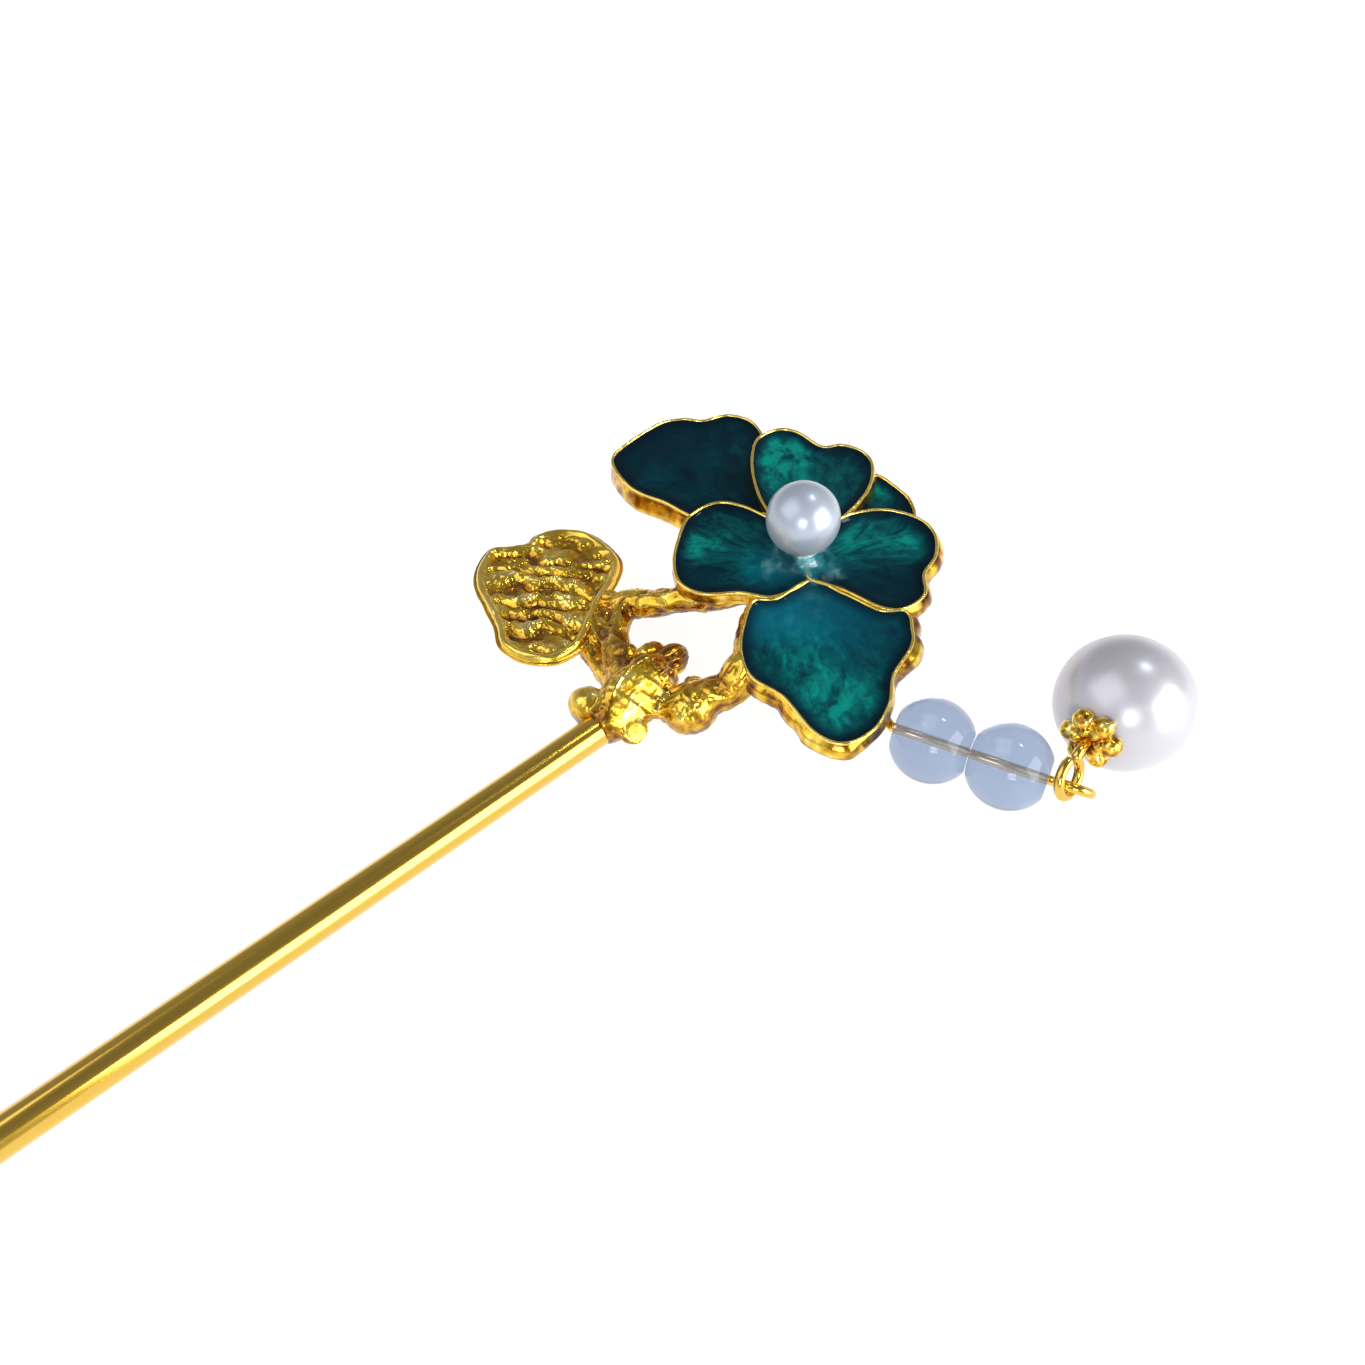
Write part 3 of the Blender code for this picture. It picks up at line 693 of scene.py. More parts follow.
# where a painted bluish reflection lies on the enamel: (right, along, reach, amount)
PAINTED_BLUE_REFLECTIONS = {
    "top": [(0.5, 3.5, 2.5, 0.4)],
    "left": [(-0.6, -2.2, 2.6, 0.9), (-2.2, -1.0, 2.0, 0.4)],
    "right": [(2.4, -1.4, 1.6, 0.6), (6.0, -1.5, 3.0, 0.25)],
    "bottom": [(0.5, -5.6, 3.4, 1.0), (4.5, -6.8, 3.4, 0.8), (-2.4, -6.6, 2.0, 0.9)],
    "upper_left": [(-9.0, 11.5, 4.0, 0.3)],
    "upper_right": [],
}
HEART = np.array([0.8, -1.2])  # where the streaks of all petals start
OUTLINES = {
    name: resample(spline(line, 12, True), 0.16) for name, (_, _, line) in PETALS.items()
}
# how far a petal's side flares and how much deeper it gets
SIDES = {"bottom": (0.5, 0.3), "right": (0.26, 0.0)}
PLAIN_SIDE = (0.08, 0.0)
# down a petal's side, from the groove under the rim to the back: (outwards, share of the depth)
WALL = (
    (-0.04, 0.02), (0.07, 0.1), (0.04, 0.22), (0.06, 0.4), (0.14, 0.6), (0.18, 0.8), (0.12, 0.93),
    (0.0, 0.99), (-0.3, 1.0),
)
REAR_DEPTH = 2  # the two petals behind are at least as deep as this
RIM_R = 0.135
STAPLE_R, STAPLE_WIDTH, STAPLE_LOW = 0.45, 2.0, 2.5


def spots(points, items, base=0.0):
    """Soft round patches of (x, y, reach, amount), added to a base level."""
    total = np.full(len(points), base)
    for x, y, reach, amount in items:
        d = np.linalg.norm(points - [x, y], axis=1) / reach
        total += amount * np.exp(-d * d)
    return total


gold = Build()
relief_lights_and_shades = []
# the side of the bottom petal where the beads swing by is kept free of swelling
bead_side = np.array([(INNER_BEAD - CENTRE) @ RIGHT, (INNER_BEAD - CENTRE) @ UP])
for index, (name, (height, depth, _)) in enumerate(PETALS.items()):
    line = OUTLINES[name]
    at = raised(line * 0.9, index * 5.0)
    wave = fractal(at, 3, 11)
    swell = fractal(at * 1.7, 3, 23)
    back_shift = 0.2 if depth < REAR_DEPTH else 0.12
    flare, deeper = SIDES.get(name, PLAIN_SIDE)
    from_bead = np.linalg.norm(line - bead_side, axis=1)
    clear = smoothstep(4.2, 7.0, from_bead)

    # the cell's floor, its lip, then the side down to a rounded back edge
    rings = [on_flower(raised(grown(line, -0.1), height - below)) for below in (0.55, 0.08)]
    for out, part in WALL:
        lump = fractal(raised(line * 1.1, part * depth * 1.3 + index), 3, 31)
        amount = 0.07 * smoothstep(0.05, 0.4, part) * smoothstep(3.0, 6.0, from_bead)
        rise, fall = smoothstep(0.08, 0.3, part), smoothstep(1.02, 0.8, part)
        out = out + flare * clear * rise * fall * (1 + 0.5 * wave)
        edge = grown(line, out + lump * amount + 0.03 * swell) + [back_shift * part, 0]
        level = height - part * (depth + deeper * clear) + 0.03 * lump
        rings.append(on_flower(raised(edge, level)))
    middle = line.mean(0)
    for part in (0.7, 0.35):
        edge = middle + (grown(line, -0.3) - middle) * part
        rings.append(on_flower(raised(edge, height - depth)))
    verts, faces = loft(rings)
    gold.add(verts, faces)
    relief_lights_and_shades.append(np.clip(0.4 + 0.9 * fractal(verts * 1.2, 3, 41), 0, 1))

    # the rim: a soft wire that follows the outline
    path = on_flower(raised(grown(line, -0.03 + 0.02 * wave), height - 0.05 + 0.035 * wave))
    verts, faces = sweep(path, RIM_R * (1 + 0.2 * swell), 14, True)
    gold.add(verts, faces)
    # painted highlight: the rim wire is painted bright
    relief_lights_and_shades.append(np.full(len(verts), 0.85))

# the staple under the bottom petal, which carries the drop
staple_in = INNER_EYE - DROP * STAPLE_WIDTH
t = np.linspace(0, math.pi, 17)
arc = (INNER_EYE + staple_in)[None, :] / 2 + np.cos(t)[:, None] * DROP
arc = arc - np.sin(t)[:, None] * [0, 0, 1]
arc[:, 2] += STAPLE_LOW - INNER_EYE[2]
path = np.concatenate([
    [[INNER_EYE[0], INNER_EYE[1], 4.1], [INNER_EYE[0], INNER_EYE[1], 3.3]], arc,
    [[staple_in[0], staple_in[1], 3.3], [staple_in[0], staple_in[1], 4.1]],
])
verts, faces = sweep(path, STAPLE_R, 20)
gold.add(verts, faces)
relief_lights_and_shades.append(np.full(len(verts), 0.7))
make(
    "flower_gold", gold.points(), gold.faces, CAST, "head_and_stick", ["flower_casting"],
    {"relief_light_and_shade": np.concatenate(relief_lights_and_shades)},
)

ENAMEL_LEVELS = 44
ENAMEL_BACK = 0.5  # the enamel's underside, below the petal's front level
for index, (name, (height, _, _)) in enumerate(PETALS.items()):
    line = OUTLINES[name]
    count = len(line)
    inner = grown(line, -0.06)
    middle = line.mean(0)
    flat = concentric(inner, middle, ENAMEL_LEVELS, 0.9)
    away = distance_to(flat, line)
    bowl = (
        0.02 + 0.11 * smoothstep(0, 0.6, away) + 0.11 * smoothstep(0.3, 1.7, away)
        - 0.05 * smoothstep(1.4, 3.4, away)
    )
    ripple = 0.05 * fractal(raised(flat * 0.35, index), 2, 51)
    z = height - bowl + ripple * smoothstep(0.2, 1.2, away)
    back = len(flat) + 1
    verts = np.concatenate([
        on_flower(raised(flat, z)), on_flower([[*middle, z[-count:].mean()]]),
        on_flower(raised(inner, height - ENAMEL_BACK)),
        on_flower([[*middle, height - ENAMEL_BACK]]),
    ])
    faces = disc(ENAMEL_LEVELS, count) + band(0, back, count) + fan(back, count, back + count)
    flat = np.concatenate([flat, [middle], inner, [middle]])
    away = np.concatenate([away, [3.0], np.zeros(count), [3.0]])
    rel = flat - HEART
    along = np.linalg.norm(rel, axis=1)
    across = np.arctan2(rel[:, 1], rel[:, 0])
    base, bright = GLOWS[name]
    make(
        "petal_enamel_" + name, verts, faces, ENAMEL, "head_and_stick", ["enamel_" + name],
        {
            "petal": raised(np.column_stack([across * 3.2, along * 0.32]), index * 3.7),
            "glow": spots(flat, bright, base),
            # where a painted blue reflection lies
            "painted_blue_reflection": np.clip(spots(flat, PAINTED_BLUE_REFLECTIONS[name]), 0, 1),
            # painted shade along the rims: how far each point is from its rim
            "edge": smoothstep(0.05, 1.25, away),
        },
    )

# --- flower pearl, peg and resin -------------------------------------------
SEAT = on_flower([[0.5, -0.5, 0]])[0]
PEARL_MID = SEAT + NORMAL * 3.95
FLOWER_PEARL_R = 2.76


def ball_profile(radius, start, spread, steps):
    """Profile points over a ball, from a polar angle through a spread of angles."""
    angles = [start + spread * i / steps for i in range(steps + 1)]
    return [(-math.cos(a) * radius, math.sin(a) * radius) for a in angles]


def drilled(radius, hole):
    """The profile of a ball with a hole through it, eased at both mouths."""
    mouth = math.asin(hole / radius)
    outer = ball_profile(radius, mouth, math.pi - 2 * mouth, 56)
    edge = outer[0][0]
    return [(edge + 0.06, hole * 0.86)] + outer + [(-edge - 0.06, hole * 0.86)]


def blind(radius, hole):
    """The profile of a ball with a hole that ends inside it."""
    mouth = math.asin(hole / radius)
    outer = ball_profile(radius, mouth, math.pi - mouth, 64)
    return [(-radius * 0.2, hole)] + outer[:-1] + [(radius, 0.01)]


def pearl_mesh(centre, axis, section, closed=False):
    """A pearl turned from its profile, slightly out of round."""
    verts, faces = lathe(centre, axis, section, 112, closed)
    rel = verts - centre
    grow = 1 + 0.006 * value_noise(rel * 0.45, 61)
    return centre + rel * grow[:, None], faces


verts, faces = pearl_mesh(PEARL_MID, NORMAL, blind(FLOWER_PEARL_R, 0.5))
make("flower_pearl_round", verts, faces, SMALL_PEARL, "head_and_stick", ["flower_pearl"])
verts, faces = lathe(
    SEAT, NORMAL,
    [(-0.4, 0.5), (-0.1, 0.48), (0.1, 0.42), (0.3, 0.34), (0.75, 0.32), (3.2, 0.32), (3.3, 0.26)],
    40,
)
make("peg_gold", verts, faces, WIRE, "head_and_stick", ["pearl_peg"])

# the resin: a thin uneven skirt that rises to a collar around the pearl's foot, in rings of
# (above the seat, radius, how much of the uneven outline)
RESIN_RINGS = (
    (-0.45, 3.0, 1.0), (-0.42, 3.9, 1.0), (-0.3, 3.6, 1.0), (-0.17, 3.1, 1.0), (-0.06, 2.65, 1.0),
    (0.06, 2.2, 0.85), (0.24, 1.84, 0.65), (0.5, 1.56, 0.4), (0.85, 1.42, 0.2),
    (1.15, 1.46, 0.08), (1.45, 1.62, 0.0), (1.4, 0.9, 0.0), (1.2, 0.4, 0.0), (0.4, 0.4, 0.0),
)
t = turns(96)
outline = 1 + 0.3 * np.cos(t + 0.9) + 0.1 * np.cos(2 * t + 1.0) + 0.05 * np.cos(5 * t)
spokes = np.cos(t)[:, None] * RIGHT + np.sin(t)[:, None] * UP
rings = []
for z, r, uneven in RESIN_RINGS:
    reach = r * (1 + (outline - 1) * uneven)
    rings.append(SEAT + NORMAL * z + reach[:, None] * spokes)
verts, faces = loft(rings, True)
spread = (verts - SEAT) @ np.column_stack([RIGHT, UP])
# how strongly the painted highlight strokes show: most near the pearl's foot
near = smoothstep(3.2, 1.9, np.linalg.norm(spread - [0.3, -0.5], axis=1))
make(
    "resin_drop", verts, faces, RESIN, "head_and_stick", ["resin_fillet"],
    {"near": 0.12 + 0.88 * near},
)

# --- leaf ------------------------------------------------------------------
LEAF_TOP, LEAF_BACK = 2.2, 1.2
LEAF_LEVELS = 90
LEAF_LINE = [
    (-17.3, 17.9), (-15.8, 19.6), (-13.7, 20.6), (-12.3, 19.7), (-11.0, 19.1), (-9.9, 19.4),
    (-8.3, 18.8), (-6.7, 17.0), (-6.4, 14.5), (-7.0, 12.0), (-8.8, 10.5), (-11.2, 9.4),
    (-13.3, 8.0), (-15.5, 6.8), (-17.9, 6.9), (-19.6, 8.7), (-20.0, 11.0), (-19.0, 13.1),
    (-18.2, 15.4),
]
RIB_PIVOT = np.array([-24.0, 4.0])  # the ribs are arcs around this point
RIB_STEP = 1.6
# down the leaf's side: (outwards, height)
LEAF_SIDE = ((0.1, 1.72), (0.12, 1.55), (0.06, 1.4), (-0.1, 1.24), (-0.5, LEAF_BACK))

line = resample(spline(LEAF_LINE, 12, True), 0.14)
count = len(line)
middle = line.mean(0)
flat = concentric(line, middle, LEAF_LEVELS)
away = distance_to(flat, line)
# the ribs, broken up by wrinkles
warp = raised(flat * 0.35, 0)
reach = np.linalg.norm((flat - RIB_PIVOT) * [1.0, 0.9], axis=1)
reach = reach + 0.55 * value_noise(warp * 1.6, 71) + 0.18 * value_noise(warp * 5.0, 72)
ribs = 0.5 + 0.5 * np.cos(reach * 2 * math.pi / RIB_STEP)
ribs = ribs**0.8 * (0.75 + 0.35 * value_noise(raised(flat * 1.3, 6.0), 74))
around = np.arctan2(flat[:, 1] - RIB_PIVOT[1], flat[:, 0] - RIB_PIVOT[0]) * 12
wrinkle = fractal(raised(np.column_stack([reach * 2.2, around * 0.8]), 3.0), 3, 73)
pits = ridged(raised(flat * 1.3, 9.0), 2, 77)
fine = ridged(raised(flat * 2.6, 21.0), 2, 78)
field = smoothstep(0.7, 1.1, away)
rim = np.exp(-(((away - 0.45) / 0.4) ** 2)) * (1 + 0.2 * value_noise(raised(flat * 0.9, 0), 70))
dome = 0.35 * smoothstep(0.5, 5.0, away)
z = LEAF_TOP - 0.42 + 0.36 * rim + dome * 0.6
z = z + field * (0.42 * ribs - 0.24 + 0.15 * wrinkle + 0.08 * pits + 0.06 * fine)
z = z - 0.25 * smoothstep(0.25, 0.0, away)
z = z + 0.04 * wrinkle
# painted light and shade: the raised rim and the rib crests are painted bright, the hollows dark
relief_light_and_shade = np.clip(0.46 + 0.4 * rim + field * (0.55 * ribs - 0.15 + 0.5 * wrinkle), 0, 1)

verts = [raised(flat, z), [[*middle, z[-count:].mean()]]]
faces = disc(LEAF_LEVELS, count)
above, start = 0, len(flat) + 1
for out, h in LEAF_SIDE:
    lump = fractal(raised(line * 1.2, h * 2), 3, 79)
    verts.append(raised(grown(line, out + 0.05 * lump), h))
    faces += band(above, start, count)
    above, start = start, start + count
verts.append([[*middle, LEAF_BACK]])
faces += fan(above, count, start)
verts = np.concatenate(verts)
relief_light_and_shade = np.concatenate([relief_light_and_shade, np.full(len(verts) - len(relief_light_and_shade), 0.5)])
make(
    "leaf_gold", verts, faces, CAST, "head_and_stick", ["leaf_casting"],
    {"relief_light_and_shade": relief_light_and_shade},
)

# --- branch ----------------------------------------------------------------
# each stem's path and its radius at each point
STEMS = [
    ([(-19.7, 0.1, 1.35), (-18.6, 0.0, 1.5), (-16.4, 0.3, 1.8), (-14.2, 0.6, 1.9),
      (-12.4, 0.5, 2.0)],
     [1.45, 1.7, 2.15, 2.15, 1.25]),
    ([(-15.6, 0.2, 1.8), (-14.6, -1.8, 1.8), (-14.0, -3.2, 1.8)], [1.55, 1.35, 1.25]),
    ([(-13.6, -3.6, 2.2), (-12.4, -4.2, 2.7), (-11.5, -4.9, 3.2), (-10.6, -5.0, 3.9),
      (-9.0, -5.2, 4.0)],
     [1.5, 1.4, 1.3, 1.55, 2.0]),
    ([(-10.5, 8.9, 1.3), (-9.9, 7.8, 1.8), (-9.4, 6.4, 2.5), (-8.6, 4.8, 3.3), (-7.6, 3.2, 4.1),
      (-6.4, 1.6, 4.6), (-5.0, 0.4, 4.8), (-4.0, -0.8, 4.8)],
     [1.0, 1.15, 1.15, 1.05, 1.05, 1.05, 0.9, 0.7]),
    ([(-15.8, 1.0, 1.8), (-14.6, 3.4, 1.7), (-13.7, 5.2, 1.5), (-13.2, 6.8, 1.3),
      (-12.7, 8.6, 1.2)],
     [1.6, 1.35, 1.25, 1.1, 0.9]),
    ([(-15.6, 2.2, 1.2), (-15.2, 4.4, 0.9), (-14.7, 7.0, 0.75), (-14.1, 10.0, 0.7),
      (-13.6, 13.0, 0.65), (-13.2, 15.5, 0.6)],
     [1.25, 1.0, 0.8, 0.72, 0.66, 0.58]),
    ([(-14.2, 4.2, 1.5), (-12.6, 6.2, 1.5), (-11.0, 7.3, 1.7), (-9.8, 7.4, 1.9)],
     [1.1, 1.0, 0.9, 0.85]),
]
LARGE_BUD = (-13.9, -3.5, 1.95)
BALLS = [
    ((-19.0, 1.9, 1.6), (1.4, 1.6, 1.55)), (LARGE_BUD, (2.1, 1.95, 1.9)),
    ((-14.1, 3.5, 2.3), (1.1, 1.05, 1.1)), ((-11.7, 0.9, 2.2), (1.45, 1.2, 1.1)),
    ((-12.6, -2.5, 2.3), (1.0, 1.0, 0.75)), ((-18.0, -1.8, 1.4), (1.1, 1.1, 0.85)),
    ((-12.4, 2.4, 2.0), (1.2, 1.0, 0.9)), ((-10.4, 9.2, 1.6), (1.0, 1.1, 0.7)),
    ((-12.2, 8.2, 1.6), (1.0, 0.8, 0.65)), ((-13.8, 7.0, 1.5), (1.0, 0.8, 0.6)),
]
FACET = normed([0.05, -0.62, 0.78])
FACET_AT = np.array([-17.0, 0.0, 1.9])

blob = Build()
axes = []
for path, radii in STEMS:
    path = spline(path, 8)
    sizes = spline(np.column_stack([radii, radii, radii]), 8)[:, 0]
    blob.add(*sweep(path, sizes, 24))
    axes.append(path)
for centre, radii in BALLS:
    blob.add(*ball(centre, radii, 32, 20))
verts, faces = fused(blob, 0.11, 6)

# distances around and along the nearest stem, for bark that runs with it
best = np.full(len(verts), 1e9)
turn, run = np.zeros(len(verts)), np.zeros(len(verts))
for k, path in enumerate(axes):
    travelled = 0.0
    for a, b in zip(path[:-1], path[1:]):
        d = b - a
        length = np.linalg.norm(d)
        d = d / length
        t = np.clip((verts - a) @ d, 0, length)
        off = verts - a - t[:, None] * d
        dist = np.linalg.norm(off, axis=1)
        across, other = cross_axes(d)
        closer = dist < best
        best = np.where(closer, dist, best)
        turn = np.where(closer, np.arctan2(off @ other, off @ across), turn)
        run = np.where(closer, travelled + t + 31 * k, run)
        travelled += length
bark = np.column_stack([np.cos(turn) * 1.9, np.sin(turn) * 1.9, run * 0.3])

# the flat, scratched facet beside the stick's end
over = (verts - FACET_AT) @ FACET - 1.05
over = np.where((verts[:, 0] < -13.9) & (verts[:, 1] > -3.0), np.maximum(over, 0), 0)
flat_part = smoothstep(0.0, 0.15, over)
verts = verts - 0.85 * over[:, None] * FACET

furrow = ridged(bark + 0.5 * np.column_stack([value_noise(verts * 0.8, 81)] * 3), 3, 83)
lumps = fractal(verts * 0.75, 3, 85)
chips = ridged(verts * 1.5, 2, 87)
push = 0.2 * (furrow - 0.5) + 0.15 * lumps + 0.04 * (chips - 0.4)
in_socket = smoothstep(-18.2, -19.6, verts[:, 0])
egg = smoothstep(2.9, 2.2, np.linalg.norm(verts - LARGE_BUD, axis=1))
push = push * (1 - 0.5 * in_socket) * (1 - 0.85 * flat_part) * (1 - 0.55 * egg)
push = push - 0.06 * egg * ridged(verts * 2.3, 1, 89)
scratches = np.column_stack([verts @ [0.87, 0.5, 0] * 3.2, verts @ [-0.5, 0.87, 0] * 0.3])
push = push + 0.05 * flat_part * value_noise(raised(scratches, 0), 88)
verts = verts + normals_of(verts, faces) * push[:, None]

# the flat back, and room under the petals
verts[:, 2] = np.maximum(verts[:, 2], 0.0)
local = (verts - CENTRE) @ np.column_stack([RIGHT, UP, NORMAL])
for height, _, line in PETALS.values():
    under = inside(local[:, :2], grown(spline(line, 4, True), 0.05))
    over = np.where(under, np.maximum(local[:, 2] - (height - 0.62), 0), 0)
    verts = verts - over[:, None] * NORMAL
    local[:, 2] -= over

# painted shade on faces turned downwards; painted highlights on furrow crests, lumps, the facet and
# the large bud
shade = smoothstep(0.75, -0.1, normals_of(verts, faces)[:, 2])
relief_light_and_shade = 0.2 + 0.6 * furrow + 0.4 * lumps + 0.2 * (chips - 0.4) + 0.2 * flat_part + 0.1 * egg
make(
    "branch_gold", verts, faces, CAST, "head_and_stick", ["branch_casting"],
    {"relief_light_and_shade": np.clip(relief_light_and_shade - 0.3 * shade, 0, 1)},
)

# --- drop ------------------------------------------------------------------
WIRE_R = 0.35
BEAD_R, BEAD_HALF, BEAD_HOLE = 3.0, 2.65, 0.4
DROP_PEARL_R = 4.73
INNER_EYE_R, OUTER_EYE_R = 0.89, 1.25
OVAL_EYE = (1.1, 1.3)  # the pearl's eye: half its width and half its length

LEAN = np.array([0.600, 0.236, -0.764])
LEAN = normed(LEAN - DROP * LEAN.dot(DROP))
THROUGH = normed(np.cross(LEAN, DROP))
THROUGH = THROUGH * (1 if THROUGH[2] > 0 else -1)
link_turn = math.radians(20)
INWARD = LEAN * math.cos(link_turn) + DROP * math.sin(link_turn)
CONTACT = OUTER_EYE - INWARD * OUTER_EYE_R
CONTACT_AXIS = DROP * math.cos(link_turn) - LEAN * math.sin(link_turn)
PEARL_EYE = CONTACT + THROUGH * (OVAL_EYE[1] - 2 * WIRE_R - 0.05)
twist = math.radians(10)
EYE_SIDE = INWARD * math.cos(twist) + CONTACT_AXIS * math.sin(twist)
BEND = PEARL_EYE + THROUGH * 1.8
PEARL_AT = np.array([6.4, -25.45, 4.8])
SHANK = normed(BEND - PEARL_AT)
LEVEL = np.cross([0, 0, 1], DROP)


def eye_arc(centre, start, side, wide, long, begin, end, steps):
    """An eye's wire line from one angle to another, in degrees from its start direction."""
    t = np.radians(np.linspace(begin, end, steps))
    return centre + np.cos(t)[:, None] * start * long + np.sin(t)[:, None] * side * wide


path = np.concatenate([
    eye_arc(INNER_EYE, DROP, LEVEL, INNER_EYE_R, INNER_EYE_R, 312, 35, 40),
    [INNER_EYE + DROP * 1.1 + LEVEL * 0.2, INNER_EYE + DROP * 1.28 + LEVEL * 0.05,
     INNER_EYE + DROP * 1.45],
    [INNER_BEAD - DROP * 2.66, INNER_BEAD - DROP * 2.3, INNER_BEAD, INNER_BEAD + DROP * 2.69,
     OUTER_BEAD, OUTER_BEAD + DROP * 2.3, OUTER_BEAD + DROP * 2.66],
    [OUTER_EYE - DROP * 1.58 + LEAN * 0.05, OUTER_EYE - DROP * 1.45 + LEAN * 0.18],
    eye_arc(OUTER_EYE, -DROP, LEAN, OUTER_EYE_R, OUTER_EYE_R, 22, 322, 56),
])
# the straight part of the wire is thinner inside the beads
off = path - INNER_BEAD
straight = np.linalg.norm(off - (off @ DROP)[:, None] * DROP, axis=1) < 0.01
slim = smoothstep(5.3, 5.0, np.abs((path - STRAND_MID) @ DROP)) * straight
verts, faces = sweep(path, WIRE_R - 0.08 * slim, 24)
# painted light on the wire where it runs inside the beads
make(
    "eye_pin_gold", verts, faces, WIRE, "strand", ["strand_eye_pin"],
    {"painted_light_in_bead": smoothstep(5.35, 5.15, np.abs((verts - STRAND_MID) @ DROP))},
)

# a bead: a ball with flats around its hole, which closes on the wire
first = math.asin((BEAD_HALF - 0.05) / BEAD_R)
flat_r = BEAD_R * math.cos(first)
flats = [
    (BEAD_HALF - 0.02, flat_r - 0.08), (BEAD_HALF, flat_r - 0.25), (BEAD_HALF, BEAD_HOLE + 0.12),
    (BEAD_HALF - 0.3, BEAD_HOLE), (BEAD_HALF - 0.35, 0.05),
]
section = [(-z, r) for z, r in reversed(flats)]
for i in range(61):
    a = -first + 2 * first * i / 60
    section.append((BEAD_R * math.sin(a), BEAD_R * math.cos(a)))
section += flats
for name, body, at in (("inner", "inner_bead", INNER_BEAD), ("outer", "outer_bead", OUTER_BEAD)):
    verts, faces = lathe(at, DROP, section, 112)
    make(name + "_clear_bead", verts, faces, GLASS, body, ["clear_bead_" + name])

verts, faces = pearl_mesh(PEARL_AT, SHANK, drilled(DROP_PEARL_R, 0.42), True)
make("drop_pearl_round", verts, faces, PEARL, "pearl", ["drop_pearl"])

# the head pin: a small ball beyond the pearl, the shank through it, a bend and the oval eye
path = np.concatenate([
    [PEARL_AT - SHANK * 5.2, PEARL_AT - SHANK * 5.12, PEARL_AT - SHANK * 4.95,
     PEARL_AT - SHANK * 4.85],
    [PEARL_AT - SHANK * 4.8, PEARL_AT, BEND - SHANK * 0.6, BEND - SHANK * 0.4 - THROUGH * 0.03],
    [BEND - SHANK * 0.15 - THROUGH * 0.15, BEND - THROUGH * 0.32,
     BEND - THROUGH * 0.45 + EYE_SIDE * 0.1],
    eye_arc(PEARL_EYE, THROUGH, EYE_SIDE, *OVAL_EYE, 24, 322, 56),
])
sizes = np.array([0.45, 0.66, 0.75, 0.6] + [WIRE_R] * (len(path) - 4))
verts, faces = sweep(path, sizes, 24)
make("head_pin_gold", verts, faces, WIRE, "pearl_pin", ["pearl_head_pin"])

# the cap: six lobes and six smaller ones around a collar, seated on the pearl
COLLAR = [(4.74, 0.44), (4.66, 1.15), (4.75, 1.4), (5.0, 1.45), (5.2, 1.2), (5.3, 0.9),
          (5.3, 0.6), (5.2, 0.44)]
LOBES = 6
CAP_SEAT_R = 4.77  # the cap's underside, just clear of the pearl
cap = Build()
across, other = cross_axes(SHANK)
cap.add(*lathe(PEARL_AT, SHANK, COLLAR, 48, True))
for i in range(LOBES):
    a = 2 * math.pi * (i + 0.15) / LOBES
    out = across * math.cos(a) + other * math.sin(a)
    cap.add(*ball(PEARL_AT + SHANK * 4.88 + out * 1.4, (0.76, 0.76, 0.76), 24, 14))
    cap.add(*ball(PEARL_AT + SHANK * 5.22 + out * 0.82, (0.5, 0.5, 0.5), 20, 12))
verts, faces = fused(cap, 0.06, 3)
rel = verts - PEARL_AT
along = rel @ SHANK
radial = np.linalg.norm(rel - along[:, None] * SHANK, axis=1)
surface = np.sqrt(np.maximum(CAP_SEAT_R**2 - radial**2, 0))
verts = verts + SHANK * np.maximum(surface - along, 0)[:, None]
bumps = fractal(verts * 2.2, 2, 91)
verts = verts + normals_of(verts, faces) * (0.05 * bumps)[:, None]
# painted highlights on the crests of the cap's bumps, painted shade in its dips
make(
    "bead_cap_gold", verts, faces, CAST, "pearl_cap", ["bead_cap"],
    {"relief_light_and_shade": np.clip(0.6 + 0.8 * bumps, 0, 1)},
)

# --- floor, lights, camera --------------------------------------------------
FLOOR_HALF, FLOOR_Z = 4, -0.0001  # metres
floor_mesh = bpy.data.meshes.new("floor")
floor_mesh.from_pydata([
    (-FLOOR_HALF, -FLOOR_HALF, FLOOR_Z), (FLOOR_HALF, -FLOOR_HALF, FLOOR_Z),
    (FLOOR_HALF, FLOOR_HALF, FLOOR_Z), (-FLOOR_HALF, FLOOR_HALF, FLOOR_Z),
], [], [(0, 1, 2, 3)])
floor = in_scene("floor", floor_mesh)
m = Nodes("floor_white")
m.set(
    Base_Color=m.mix(m.noise(m.coords(), 40, 2, 0.5), (0.22, 0.22, 0.22), (0.25, 0.25, 0.25)),
    Roughness=0.9, Specular_IOR_Level=0.0, Emission_Strength=0.92, Emission_Color=(1, 1, 1, 1),
)
floor_mesh.materials.append(m.material)

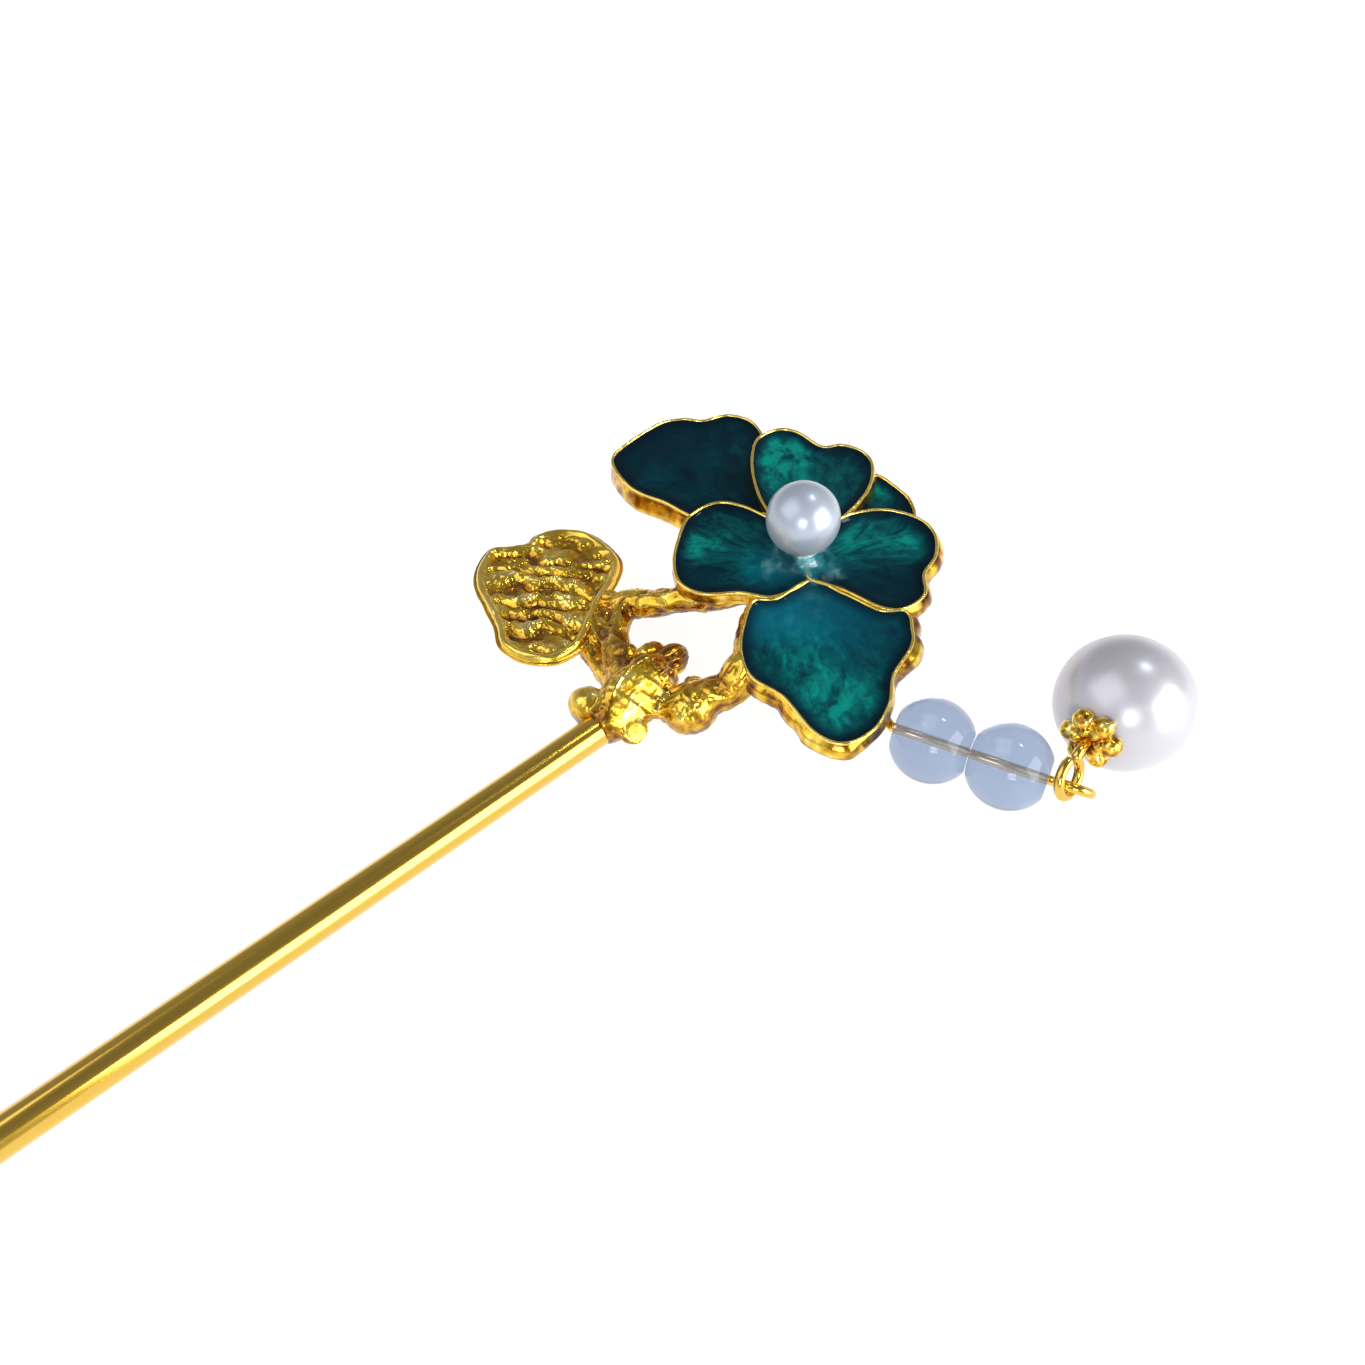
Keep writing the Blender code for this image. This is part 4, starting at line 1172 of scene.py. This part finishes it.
# the room: light near the horizon, darker overhead
world = bpy.data.worlds.new("studio")
bpy.context.scene.world = world
world.use_nodes = True
tree = world.node_tree
back = tree.nodes["Background"]
where = tree.nodes.new("ShaderNodeTexCoord")
split = tree.nodes.new("ShaderNodeSeparateXYZ")
tree.links.new(where.outputs["Generated"], split.inputs[0])
ramp = tree.nodes.new("ShaderNodeValToRGB")
tree.links.new(split.outputs["Z"], ramp.inputs["Fac"])
set_stops(ramp.color_ramp, (
    (0.0, (0.85, 0.85, 0.86)), (0.1, (0.66, 0.66, 0.67)), (0.26, (0.34, 0.34, 0.35)),
    (0.6, (0.3, 0.3, 0.31)), (1.0, (0.2, 0.2, 0.22)),
))
tree.links.new(ramp.outputs["Color"], back.inputs["Color"])
back.inputs["Strength"].default_value = 1.0

TARGET = Vector((0.014, -0.008, 0.004))
# name, direction from the target, distance, size, power and colour
LIGHTS = (
    ("window", (0.29, -0.9, 0.36), 0.9, (0.72, 0.7), 9.0, (1.0, 0.985, 0.96)),
    ("side", (-0.72, -0.58, 0.42), 0.7, (0.22, 0.22), 1.3, (0.95, 0.97, 1.0)),
    ("far", (0.437, -0.037, 0.898), 0.7, (0.1, 0.05), 0.5, (0.86, 0.93, 1.0)),
    ("shelf", (-0.62, 0.35, 0.72), 0.7, (0.65, 0.65), 1.7, (0.97, 0.98, 1.0)),
)
for name, direction, distance, size, power, colour in LIGHTS:
    light = bpy.data.lights.new(name, "AREA")
    light.shape = "RECTANGLE"
    light.size, light.size_y = size
    light.energy = power
    light.color = colour
    lamp = in_scene(name, light)
    lamp.location = TARGET + Vector(direction).normalized() * distance
    lamp.rotation_euler = (lamp.location - TARGET).to_track_quat("Z", "Y").to_euler()

CAMERA_AT = Vector((-38.906, -44.083, 65.0))
camera_data = bpy.data.cameras.new("camera")
camera_data.sensor_width = 36
camera_data.lens = 30.99
camera_data.clip_start = 0.002
camera = in_scene("camera", camera_data)
elevation = math.radians(47)
ahead = Vector(ALONG) * math.cos(elevation) - Vector((0, 0, math.sin(elevation)))
right = Vector(RIGHT)
above = right.cross(ahead)
turned = Matrix((right, above, -ahead)).transposed().to_4x4()
camera.matrix_world = Matrix.Translation(CAMERA_AT * MM) @ turned
bpy.context.scene.camera = camera
bpy.context.scene.view_settings.view_transform = "Standard"
